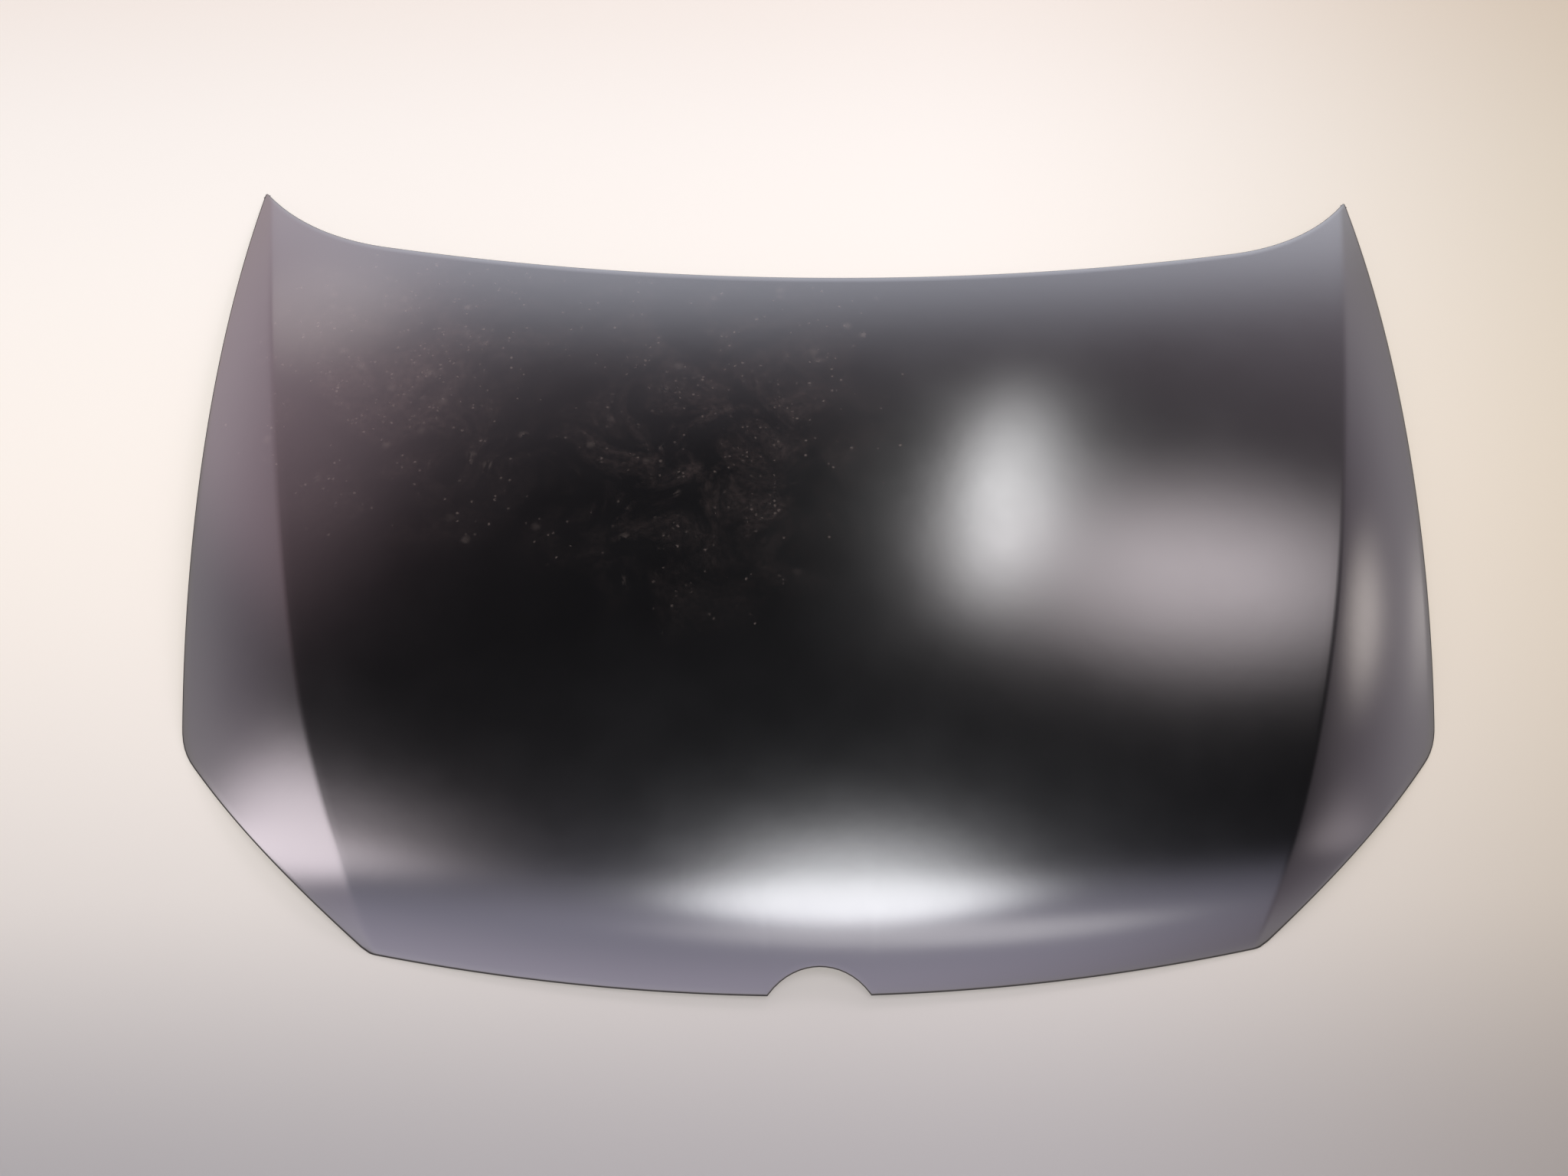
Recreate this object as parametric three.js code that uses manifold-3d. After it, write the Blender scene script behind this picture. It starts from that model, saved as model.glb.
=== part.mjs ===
// Car bonnet: a pressed outer skin hemmed round a ribbed inner panel, with the plates,
// nuts and mastic dabs that sit between the two.
// Millimetres. X runs across the car, Y from the nose (-) to the windscreen (+), Z up.
// The bonnet lies on its hem, crown up, as it would on a floor.
import * as THREE from 'three';
import { mergeVertices } from 'three/addons/utils/BufferGeometryUtils.js';
import Module from 'manifold-3d';

const wasm = await Module();
wasm.setup();

// Plan outline, right half
const bonnetLength = 1100;
const tipHalfWidth = 686;
const sideCornerX = 720;
const sideCornerY = -240;
const frontCornerX = 495;
const frontBow = 58;
const notchHalfWidth = 57;
const notchDepth = 25;
const sideBulge = 19;
const lampEdgeBulge = 13;
const rearSweep = 200;
const rearArcHalfWidth = 525;
const rearArcRise = 76;
const frontCornerCut = 9;
const sideCornerCut = 24;
const tipCut = 5;

// Crown of the skin
const crossCrownRadius = 4200;
const frontCrownRadius = 1700;
const rearCrownRadius = 1850;
const crownPeakY = 40;
const noseRollLength = 95;
const noseRollRadius = 170;
const creaseFromTip = 6;
const creaseStraightShare = 0.58;
const creaseSweepPower = 4.9;
const flankSlope = 0.2;
const flankRadius = 450;

// Sheets and the hem
const skinThickness = 0.8;
const panelThickness = 0.8;
const fitGap = 0.3;
const hemWidth = 12;
const foldGap = 0.6;

// Inner panel
const channelInset = 35;
const wallRun = 18;
const ribDepth = 24;
const islandDepth = 4.2;
const islandCornerRadius = 26;
const islandLipWidth = 22;
const wallHalfSheet = 0.3;
const endHalfSheet = 0.3;
const joinOverlap = 0.3;

// Islands round the openings, in two rows parted by a rib across the car
const crossRibY = 27;
const crossRibWidth = 70;
const rearRowFromRearEdge = 104;
const frontRowFromNose = 218;
const middleRibWidth = 120;
const islandGap = 70;
const rearRowFrontFromCrease = 54;
const rearRowRearFromCrease = 102;
const frontRowRearFromCrease = 109;
const frontRowFrontFromCrease = 157;
const frontRowSideFromCrease = 86;
const frontRowSideBack = 88;
const rearRowFrontShares = [0.21, 0.47, 0.32];
const rearRowRearShares = [0.31, 0.48, 0.21];
const frontRowFrontShares = [0.55, 0.45];
const frontRowRearShares = [0.5, 0.5];

// Hinge, latch and prop rod seats
const padWallRun = 7;
const hingePadFromCrease = 54;
const hingePadFromRearEdge = 53;
const hingePadWidth = 52;
const hingePadLength = 128;
const hingePadDrop = 28;
const hingeBoltSpacing = 76;
const hingePlateThickness = 1.5;
const latchPadFromNose = 102;
const latchPadWidth = 150;
const latchPadLength = 56;
const latchPadDrop = 30;
const latchBoltSpacing = 84;
const latchPlateThickness = 1.5;
const propPadFromStop = 122;
const propPadFromNose = 108;
const propPadWidth = 62;
const propPadLength = 42;
const propPadDrop = 28;
const propSlotLength = 26;
const propSlotWidth = 11;
const propPlateThickness = 1.2;
const stopSeatFromCorner = 55;
const stopSeatFromNose = 120;
const stopSeatDiameter = 42;
const stopSeatDrop = 29;
const padCornerRadius = 10;
const plateMargin = 4;

// Nuts and small holes
const boltHoleDiameter = 10.5;
const nutAcrossFlats = 14;
const nutHeight = 6.5;
const nutBore = 7;
const clipHoleDiameter = 8;
const sideClipX = 304;
const noseClipX = 176;
const noseClipFromIsland = 30;

// Mastic dabs
const dabDiameter = 18;
const dabGap = 0.4;

// Facets of the skin
const innerColumns = 4;
const flankColumns = [30, 85, 160, 262];
const noseRows = [-14, 6, 18, 36, 62, 95];
const bodyRows = 8;
const rearMargin = 14;
const rowsStraightFrom = 120;
const stationGap = 10;

const frontY = -bonnetLength / 2;
const rearY = bonnetLength / 2;
const rearMiddleY = rearY - rearSweep;
const frontCornerY = frontY + frontBow;
const hemDepth = 2 * skinThickness + panelThickness + 2 * fitGap;

// Shape of the crown

function frontEdgeY(x) {
  const share = (x * x - notchHalfWidth ** 2) / (frontCornerX ** 2 - notchHalfWidth ** 2);
  return frontY + frontBow * share;
}

// Half width of the crease that runs from the rear tip to the front corner.
function creaseX(y) {
  const t = (rearY - y) / (rearY - frontCornerY);
  const sweep = Math.sign(t) * Math.abs(t) ** creaseSweepPower;
  const share = creaseStraightShare * t + (1 - creaseStraightShare) * sweep;
  return tipHalfWidth - creaseFromTip - (tipHalfWidth - frontCornerX) * share;
}

function rawCrown(x, y) {
  const across = Math.abs(x);
  const along = y - crownPeakY;
  const alongRadius = along > 0 ? rearCrownRadius : frontCrownRadius;
  const outside = Math.max(0, across - creaseX(y));
  const roll = Math.max(0, noseRollLength - (y - frontEdgeY(across)));
  return -(along ** 2) / (2 * alongRadius)
    - across ** 2 / (2 * crossCrownRadius)
    - outside * flankSlope - outside ** 2 / (2 * flankRadius)
    - roll ** 2 / (2 * noseRollRadius);
}

// The tips and the front corners share one level, on which the bonnet rests.
const tipCrown = rawCrown(tipHalfWidth, rearY);
const frontCornerCrown = rawCrown(frontCornerX, frontCornerY);
const restSlope = (frontCornerCrown - tipCrown) / (rearY - frontCornerY);

function crown(x, y) {
  return rawCrown(x, y) - tipCrown + restSlope * (y - rearY) + hemDepth;
}

// Grid of skin points, with one line of facets on each crease and rows that follow the nose

function gridX(column, y) {
  const side = Math.sign(column);
  const step = Math.abs(column);
  if (step <= innerColumns) return creaseX(y) * column / innerColumns;
  return side * (creaseX(y) + flankColumns[step - innerColumns - 1]);
}

const lastColumn = innerColumns + flankColumns.length;
const rowBases = noseRows.map((back) => ({ y: frontY + back, share: 1 }));
const bodyStart = frontY + noseRows[noseRows.length - 1];
for (let row = 1; row <= bodyRows; row += 1) {
  const y = bodyStart + (rearY + rearMargin - bodyStart) * row / bodyRows;
  rowBases.push({ y, share: Math.max(0, (rowsStraightFrom - y) / (rowsStraightFrom - bodyStart)) });
}

function gridNode(column, base) {
  let y = base.y;
  let x = gridX(column, y);
  for (let pass = 0; pass < 4; pass += 1) {
    y = base.y + base.share * (frontEdgeY(x) - frontY);
    x = gridX(column, y);
  }
  return { x, y };
}

const grid = rowBases.map((base) => {
  const line = [];
  for (let column = -lastColumn; column <= lastColumn; column += 1) {
    line.push(gridNode(column, base));
  }
  return line;
});

// Two triangles of one grid cell, mirrored about the middle of the car.
function cellCorners(row, column) {
  const a = [row, column];
  const b = [row, column + 1];
  const c = [row + 1, column + 1];
  const d = [row + 1, column];
  return column < lastColumn ? [[a, b, c], [a, c, d]] : [[a, b, d], [b, c, d]];
}

const gridTriangles = [];
for (let row = 0; row < grid.length - 1; row += 1) {
  for (let column = 0; column < grid[0].length - 1; column += 1) {
    gridTriangles.push(...cellCorners(row, column));
  }
}

const gridEdges = [];
grid.forEach((line, row) => line.forEach((node, column) => {
  if (column > 0) gridEdges.push([line[column - 1], node]);
  if (row > 0) gridEdges.push([grid[row - 1][column], node]);
}));

// Shares of the way from one point to another at which it crosses the grid's lines.
function gridCrossings(a, b) {
  const [dx, dy] = [b[0] - a[0], b[1] - a[1]];
  const length = Math.hypot(dx, dy);
  const shares = [];
  gridEdges.forEach(([p, q]) => {
    const [ex, ey] = [q.x - p.x, q.y - p.y];
    const area = dx * ey - dy * ex;
    if (Math.abs(area) < 1e-9) return;
    const share = ((p.x - a[0]) * ey - (p.y - a[1]) * ex) / area;
    const across = ((p.x - a[0]) * dy - (p.y - a[1]) * dx) / area;
    if (share > 0 && share < 1 && across >= 0 && across <= 1) shares.push(share);
  });
  shares.sort((first, second) => first - second);
  return shares.filter((share, k) => share * length > stationGap
    && (1 - share) * length > stationGap
    && (k === 0 || (share - shares[k - 1]) * length > stationGap));
}

// Height of a faceted level at any point: straight between the grid's nodes.
function levelAt(level, x, y) {
  for (const corners of gridTriangles) {
    const [a, b, c] = corners.map(([row, column]) => grid[row][column]);
    const area = (b.x - a.x) * (c.y - a.y) - (c.x - a.x) * (b.y - a.y);
    const shareB = ((x - a.x) * (c.y - a.y) - (c.x - a.x) * (y - a.y)) / area;
    const shareC = ((b.x - a.x) * (y - a.y) - (x - a.x) * (b.y - a.y)) / area;
    if (shareB >= -1e-6 && shareC >= -1e-6 && shareB + shareC <= 1 + 2e-6) {
      return level(a.x, a.y) * (1 - shareB - shareC) + level(b.x, b.y) * shareB
        + level(c.x, c.y) * shareC;
    }
  }
  return level(x, y);
}

// Solids

function solidFrom(positions, triangles) {
  return new wasm.Manifold(new wasm.Mesh({
    numProp: 3,
    vertProperties: new Float32Array(positions),
    triVerts: new Uint32Array(triangles),
  }));
}

function solidFromGeometry(geometry) {
  const bare = new THREE.BufferGeometry();
  bare.setAttribute('position', geometry.getAttribute('position').clone());
  if (geometry.index) bare.setIndex(geometry.index.clone());
  const merged = mergeVertices(bare, 1e-4);
  return solidFrom(merged.getAttribute('position').array, merged.index.array);
}

// Closed slab over the whole grid, between two levels.
function slab(upper, lower) {
  const positions = [];
  const width = grid[0].length;
  const nodes = grid.flat();
  nodes.forEach(({ x, y }) => positions.push(x, y, upper(x, y)));
  nodes.forEach(({ x, y }) => positions.push(x, y, lower(x, y)));
  const below = nodes.length;
  const triangles = [];
  gridTriangles.forEach((corners) => {
    const [a, b, c] = corners.map(([row, column]) => row * width + column);
    triangles.push(a, b, c, below + a, below + c, below + b);
  });
  const rim = [];
  for (let column = 0; column < width; column += 1) rim.push(column);
  for (let row = 1; row < grid.length; row += 1) rim.push(row * width + width - 1);
  for (let column = width - 2; column >= 0; column -= 1) rim.push((grid.length - 1) * width + column);
  for (let row = grid.length - 2; row > 0; row -= 1) rim.push(row * width);
  rim.forEach((a, k) => {
    const b = rim[(k + 1) % rim.length];
    triangles.push(a, below + a, b, b, below + a, below + b);
  });
  return solidFrom(positions, triangles);
}

function shapeOf(loop, holes = []) {
  const shape = new THREE.Shape(loop.map(([x, y]) => new THREE.Vector2(x, y)));
  holes.forEach((hole) => {
    shape.holes.push(new THREE.Path(hole.map(([x, y]) => new THREE.Vector2(x, y))));
  });
  return shape;
}

function prism(loop, holes = [], low = -50, high = 250) {
  const geometry = new THREE.ExtrudeGeometry(shapeOf(loop, holes), {
    depth: high - low, bevelEnabled: false, steps: 1, curveSegments: 8,
  });
  geometry.translate(0, 0, low);
  return solidFromGeometry(geometry);
}

// Part of a curved sheet, cut to a plan shape.
function layer(upper, lower, loop, holes = []) {
  return slab(upper, lower).intersect(prism(loop, holes));
}

// Plan curves

// Points on an arc from one point to another, bulging to the right of the way it goes.
function arcPoints(from, to, bulge, steps) {
  const [dx, dy] = [to[0] - from[0], to[1] - from[1]];
  const chord = Math.hypot(dx, dy);
  const points = [];
  for (let k = 0; k <= steps; k += 1) {
    const t = k / steps;
    const out = 4 * bulge * t * (1 - t);
    points.push([from[0] + dx * t + dy / chord * out, from[1] + dy * t - dx / chord * out]);
  }
  return points;
}

// A curve shortened at its ends by the given lengths.
function trimmed(points, startCut, endCut) {
  const cutFront = (list, cut) => {
    let left = cut;
    let k = 0;
    while (k < list.length - 2) {
      const piece = Math.hypot(list[k + 1][0] - list[k][0], list[k + 1][1] - list[k][1]);
      if (piece > left) break;
      left -= piece;
      k += 1;
    }
    const piece = Math.hypot(list[k + 1][0] - list[k][0], list[k + 1][1] - list[k][1]);
    const share = left / piece;
    const first = [0, 1].map((axis) => list[k][axis] * (1 - share) + list[k + 1][axis] * share);
    return [first, ...list.slice(k + 1)];
  };
  const ahead = startCut > 0 ? cutFront(points, startCut) : points;
  return endCut > 0 ? cutFront([...ahead].reverse(), endCut).reverse() : ahead;
}

// Rounded corner between two curve ends.
function cornerPoints(from, corner, to, steps) {
  const points = [];
  for (let k = 1; k < steps; k += 1) {
    const t = k / steps;
    points.push([0, 1].map((axis) => (
      from[axis] * (1 - t) ** 2 + corner[axis] * 2 * t * (1 - t) + to[axis] * t ** 2)));
  }
  return points;
}

// Right half of the outline, from the notch in the nose round to the middle of the rear edge.
function halfOutline() {
  const notchRadius = (notchHalfWidth ** 2 + notchDepth ** 2) / (2 * notchDepth);
  const notchAngle = Math.asin(notchHalfWidth / notchRadius);
  const notch = [];
  for (let k = 0; k <= 4; k += 1) {
    const angle = notchAngle * k / 4;
    notch.push([notchRadius * Math.sin(angle),
      frontY + notchDepth - notchRadius * (1 - Math.cos(angle))]);
  }
  const front = [];
  for (let k = 0; k <= 6; k += 1) {
    const x = notchHalfWidth + (frontCornerX - notchHalfWidth) * k / 6;
    front.push([x, frontEdgeY(x)]);
  }
  const frontCorner = [frontCornerX, frontCornerY];
  const sideCorner = [sideCornerX, sideCornerY];
  const tip = [tipHalfWidth, rearY];
  const lampEdge = arcPoints(frontCorner, sideCorner, lampEdgeBulge, 6);
  const side = arcPoints(sideCorner, tip, sideBulge, 8);

  const rearRadius = (rearArcHalfWidth ** 2 + rearArcRise ** 2) / (2 * rearArcRise);
  const rearAngle = Math.asin(rearArcHalfWidth / rearRadius);
  const rear = [];
  for (let k = 0; k <= 7; k += 1) {
    const angle = rearAngle * (1 - k / 7);
    rear.push([rearRadius * Math.sin(angle), rearMiddleY + rearRadius * (1 - Math.cos(angle))]);
  }
  // The rear arc turns into a tighter one, tangent to it, that ends at the tip.
  const start = rear[0];
  const [toTipX, toTipY] = [tip[0] - start[0], tip[1] - start[1]];
  const flickRadius = (toTipX ** 2 + toTipY ** 2)
    / (2 * (toTipY * Math.cos(rearAngle) - toTipX * Math.sin(rearAngle)));
  const centre = [start[0] - flickRadius * Math.sin(rearAngle),
    start[1] + flickRadius * Math.cos(rearAngle)];
  const startAngle = rearAngle - Math.PI / 2;
  const endAngle = Math.atan2(tip[1] - centre[1], tip[0] - centre[0]);
  const flick = [];
  for (let k = 0; k <= 7; k += 1) {
    const angle = endAngle + (startAngle - endAngle) * k / 7;
    flick.push([centre[0] + flickRadius * Math.cos(angle),
      centre[1] + flickRadius * Math.sin(angle)]);
  }

  const frontPart = trimmed(front, 0, frontCornerCut);
  const lampPart = trimmed(lampEdge, frontCornerCut, sideCornerCut);
  const sidePart = trimmed(side, sideCornerCut, tipCut);
  const flickPart = trimmed(flick, tipCut, 0);
  const last = (list) => list[list.length - 1];
  return [
    ...notch,
    ...frontPart.slice(1),
    ...cornerPoints(last(frontPart), frontCorner, lampPart[0], 3),
    ...lampPart,
    ...cornerPoints(last(lampPart), sideCorner, sidePart[0], 4),
    ...sidePart,
    ...cornerPoints(last(sidePart), tip, flickPart[0], 3),
    ...flickPart,
    ...rear.slice(1),
  ];
}

// Closed loop from a right half whose ends lie on the middle of the car.
function whole(half) {
  const left = half.slice(1, -1).reverse().map(([x, y]) => [-x, y]);
  return [...half, ...left];
}

function distanceToCurve(point, curve) {
  let nearest = Infinity;
  for (let k = 0; k < curve.length - 1; k += 1) {
    const [ax, ay] = curve[k];
    const [dx, dy] = [curve[k + 1][0] - ax, curve[k + 1][1] - ay];
    const along = ((point[0] - ax) * dx + (point[1] - ay) * dy) / (dx * dx + dy * dy);
    const t = Math.min(1, Math.max(0, along));
    nearest = Math.min(nearest, Math.hypot(point[0] - ax - dx * t, point[1] - ay - dy * t));
  }
  return nearest;
}

// The same curve with no step longer than asked.
function subdivided(curve, longest) {
  const points = [curve[0]];
  for (let k = 0; k < curve.length - 1; k += 1) {
    const [a, b] = [curve[k], curve[k + 1]];
    const pieces = Math.max(1, Math.ceil(Math.hypot(b[0] - a[0], b[1] - a[1]) / longest));
    for (let n = 1; n <= pieces; n += 1) {
      points.push([a[0] + (b[0] - a[0]) * n / pieces, a[1] + (b[1] - a[1]) * n / pieces]);
    }
  }
  return points;
}

// The same curve without the points that lie nearly straight between their neighbours.
function thinned(curve, tolerance) {
  const points = [curve[0]];
  let start = 0;
  for (let k = 2; k < curve.length; k += 1) {
    const chord = [curve[start], curve[k]];
    const strays = curve.slice(start + 1, k).some((p) => distanceToCurve(p, chord) > tolerance);
    if (strays) {
      points.push(curve[k - 1]);
      start = k - 1;
    }
  }
  points.push(curve[curve.length - 1]);
  return points;
}

// Direction to the left of a curve at one of its points.
function leftOf(curve, k) {
  const before = curve[Math.max(0, k - 1)];
  const after = curve[Math.min(curve.length - 1, k + 1)];
  const [dx, dy] = [after[0] - before[0], after[1] - before[1]];
  const length = Math.hypot(dx, dy);
  return [-dy / length, dx / length];
}

// Two closed loops side by side, each with a point wherever either crosses the grid's lines.
function stationedPair(inner, outer) {
  const pair = [[], []];
  inner.forEach((point, k) => {
    const next = (k + 1) % inner.length;
    const edges = [[point, inner[next]], [outer[k], outer[next]]];
    const crossings = edges.flatMap(([from, to]) => gridCrossings(from, to));
    const shares = [0, ...crossings.sort((a, b) => a - b)];
    shares.filter((share, n) => n === 0 || share - shares[n - 1] > 0.02).forEach((share) => {
      edges.forEach(([from, to], side) => (
        pair[side].push([0, 1].map((axis) => from[axis] + (to[axis] - from[axis]) * share))));
    });
  });
  return pair;
}

// Where two straight pieces cross, or nothing.
function crossingOf(a, b, c, d) {
  const [dx, dy] = [b[0] - a[0], b[1] - a[1]];
  const [ex, ey] = [d[0] - c[0], d[1] - c[1]];
  const area = dx * ey - dy * ex;
  if (Math.abs(area) < 1e-9) return null;
  const share = ((c[0] - a[0]) * ey - (c[1] - a[1]) * ex) / area;
  const across = ((c[0] - a[0]) * dy - (c[1] - a[1]) * dx) / area;
  const meets = share >= 0 && share <= 1 && across >= 0 && across <= 1;
  return meets ? [a[0] + dx * share, a[1] + dy * share] : null;
}

// The same curve with each place where it crosses itself cut off at the crossing.
function withoutLoops(curve) {
  const points = [curve[0]];
  let k = 0;
  while (k < curve.length - 1) {
    let next = k + 1;
    let meeting = null;
    for (let far = curve.length - 2; far > k + 1 && !meeting; far -= 1) {
      meeting = crossingOf(points[points.length - 1], curve[k + 1], curve[far], curve[far + 1]);
      if (meeting) next = far + 1;
    }
    if (meeting) points.push(meeting);
    points.push(curve[next]);
    k = next;
  }
  return points;
}

// Right half of a curve that runs inside another at an even distance.
function insetHalf(half, distance, tolerance = 0.05) {
  const fine = subdivided(half, 6);
  const kept = [];
  fine.forEach((point, k) => {
    const ends = k === 0 || k === fine.length - 1;
    const [nx, ny] = ends ? [0, k === 0 ? 1 : -1] : leftOf(fine, k);
    const moved = [point[0] + nx * distance, point[1] + ny * distance];
    if (moved[0] < -1e-9) return;
    if (distanceToCurve(moved, half) > distance * 0.985) kept.push(moved);
  });
  return thinned(withoutLoops(kept), tolerance);
}

// A closed loop moved outward at an even distance, its count of points kept.
function grown(loop, distance) {
  const count = loop.length;
  const outward = loop.map((a, k) => {
    const b = loop[(k + 1) % count];
    const length = Math.hypot(b[0] - a[0], b[1] - a[1]);
    return [(b[1] - a[1]) / length, (a[0] - b[0]) / length];
  });
  return loop.map((point, k) => {
    const before = outward[(k - 1 + count) % count];
    const sum = [before[0] + outward[k][0], before[1] + outward[k][1]];
    const share = 2 * distance / (sum[0] ** 2 + sum[1] ** 2);
    return [point[0] + sum[0] * share, point[1] + sum[1] * share];
  });
}

// Convex polygon with rounded corners, drawn larger or smaller by an even distance.
function roundedPolygon(corners, radius, grow = 0) {
  const count = corners.length;
  const points = [];
  const rounds = corners.map((corner, k) => {
    const before = corners[(k - 1 + count) % count];
    const after = corners[(k + 1) % count];
    const unit = (from, to) => {
      const length = Math.hypot(to[0] - from[0], to[1] - from[1]);
      return [(to[0] - from[0]) / length, (to[1] - from[1]) / length];
    };
    const [inX, inY] = unit(before, corner);
    const [outX, outY] = unit(corner, after);
    const turn = Math.atan2(inX * outY - inY * outX, inX * outX + inY * outY);
    const back = radius * Math.tan(turn / 2);
    const centre = [corner[0] - inX * back - inY * radius, corner[1] - inY * back + inX * radius];
    const first = Math.atan2(-inX, inY);
    return { centre, first, turn };
  });
  rounds.forEach(({ centre, first, turn }, k) => {
    const arcs = Math.max(2, Math.round(turn / 0.75));
    for (let n = 0; n <= arcs; n += 1) {
      const angle = first + turn * n / arcs;
      points.push([centre[0] + (radius + grow) * Math.cos(angle),
        centre[1] + (radius + grow) * Math.sin(angle)]);
    }
    const next = rounds[(k + 1) % count];
    const angle = first + turn;
    const reach = [Math.cos(angle) * radius, Math.sin(angle) * radius];
    const [ax, ay] = [centre[0] + reach[0], centre[1] + reach[1]];
    const [bx, by] = [next.centre[0] + reach[0], next.centre[1] + reach[1]];
    gridCrossings([ax, ay], [bx, by]).forEach((share) => {
      points.push([ax + (bx - ax) * share + Math.cos(angle) * grow,
        ay + (by - ay) * share + Math.sin(angle) * grow]);
    });
  });
  return points;
}

function rectangleCorners(x, y, width, length) {
  return [[x - width / 2, y - length / 2], [x + width / 2, y - length / 2],
    [x + width / 2, y + length / 2], [x - width / 2, y + length / 2]];
}

function circlePoints(x, y, diameter, count) {
  const points = [];
  for (let k = 0; k < count; k += 1) {
    const angle = 2 * Math.PI * (k + 0.5) / count;
    points.push([x + diameter / 2 * Math.cos(angle), y + diameter / 2 * Math.sin(angle)]);
  }
  return points;
}

function mirroredLoop(loop) {
  return loop.map(([x, y]) => [-x, y]).reverse();
}

// Ring of formed sheet through loops of equal point count, each at its own level.
function formedRing(loops, levels, halves) {
  const rows = loops.length;
  const positions = [];
  loops[0].forEach((point, k) => {
    const heights = loops.map((loop, row) => levels[row](loop[k][0], loop[k][1]));
    loops.forEach((loop, row) => positions.push(...loop[k], heights[row] + halves[row]));
    for (let row = rows - 1; row >= 0; row -= 1) {
      positions.push(...loops[row][k], heights[row] - halves[row]);
    }
  });
  const around = 2 * rows;
  const triangles = [];
  loops[0].forEach((point, k) => {
    const a = k * around;
    const b = ((k + 1) % loops[0].length) * around;
    for (let side = 0; side < around; side += 1) {
      const next = (side + 1) % around;
      triangles.push(a + side, b + next, b + side, a + side, a + next, b + next);
    }
  });
  return solidFrom(positions, triangles);
}

// Levels

const skinTop = (x, y) => crown(x, y);
const below = (depth) => (x, y) => crown(x, y) - depth;
const skinUnder = below(skinThickness);
const flangeTop = below(skinThickness + fitGap);
const flangeUnder = below(skinThickness + fitGap + panelThickness);
const foldTop = below(hemDepth - skinThickness);
const foldUnder = below(hemDepth);
const islandTop = below(islandDepth);
const ribTop = (x, y) => crown(x, y) - Math.min(ribDepth, crown(x, y) / 2);
const ribUnder = (x, y) => ribTop(x, y) - panelThickness;
const middleOf = (level) => (x, y) => levelAt(level, x, y) - panelThickness / 2;

// Flat seat that lies along the crown at one point, a set drop below it.
function seatPlane(x, y, drop) {
  const step = 1;
  const slopeX = (crown(x + step, y) - crown(x - step, y)) / (2 * step);
  const slopeY = (crown(x, y + step) - crown(x, y - step)) / (2 * step);
  const height = crown(x, y) - drop;
  const at = (px, py) => height + slopeX * (px - x) + slopeY * (py - y);
  const normal = new THREE.Vector3(-slopeX, -slopeY, 1).normalize();
  return { at, normal, origin: new THREE.Vector3(x, y, height) };
}

// Plate cut to a plan shape and tilted into a seat's plane.
function flatPlate(seat, loop, holes, low, high) {
  const geometry = new THREE.ExtrudeGeometry(shapeOf(loop, holes), {
    depth: high - low, bevelEnabled: false, steps: 1, curveSegments: 8,
  });
  const position = geometry.getAttribute('position');
  for (let k = 0; k < position.count; k += 1) {
    const [x, y, z] = [position.getX(k), position.getY(k), position.getZ(k)];
    position.setZ(k, z + low + seat.at(x, y));
  }
  return solidFromGeometry(geometry);
}

// Solid that stands square on a seat, at a point given in plan.
function standOn(seat, x, y, loop, holes, low, high) {
  const geometry = new THREE.ExtrudeGeometry(shapeOf(loop, holes), {
    depth: high - low, bevelEnabled: false, steps: 1, curveSegments: 8,
  });
  geometry.translate(0, 0, low);
  const turn = new THREE.Quaternion().setFromUnitVectors(new THREE.Vector3(0, 0, 1), seat.normal);
  geometry.applyQuaternion(turn);
  geometry.translate(x, y, seat.at(x, y));
  return solidFromGeometry(geometry);
}

const boltTool = (seat, [x, y]) => (
  standOn(seat, x, y, circlePoints(0, 0, boltHoleDiameter, 12), [], -15, 15));

// Outer skin with its hem

const outlineHalf = halfOutline();
const outline = whole(outlineHalf);

// Rear edge of the outline at a distance from the middle of the car.
function rearEdgeY(x) {
  const heights = outlineHalf.slice(1).map((b, k) => {
    const a = outlineHalf[k];
    const share = (x - a[0]) / (b[0] - a[0]);
    return share >= 0 && share <= 1 ? a[1] + (b[1] - a[1]) * share : frontY;
  });
  return Math.max(...heights);
}

const foldInside = whole(insetHalf(outlineHalf, skinThickness));
const hemInside = whole(insetHalf(outlineHalf, hemWidth, 0.15));
const hemSlot = layer(skinUnder, foldTop, foldInside);
const hemMouth = layer(skinUnder, below(hemDepth + 2), hemInside);
const outerSkin = layer(skinTop, foldUnder, outline).subtract(hemSlot.add(hemMouth));

// Inner panel

const flangeOutside = whole(insetHalf(outlineHalf, skinThickness + foldGap));
const channelFoot = whole(insetHalf(outlineHalf, channelInset, 0.6));
const [channelLoop, channelTop] = stationedPair(channelFoot, grown(channelFoot, wallRun));

// Ends of the islands along one line across the car, from the middle out: gaps of one width
// stand between them, and the islands share what the gaps leave.
function islandEnds(firstEnd, lastEnd, shares) {
  const free = lastEnd - firstEnd - islandGap * (shares.length - 1);
  let from = firstEnd;
  return shares.map((share) => {
    const to = from + free * share;
    const ends = [from, to];
    from = to + islandGap;
    return ends;
  });
}

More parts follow.
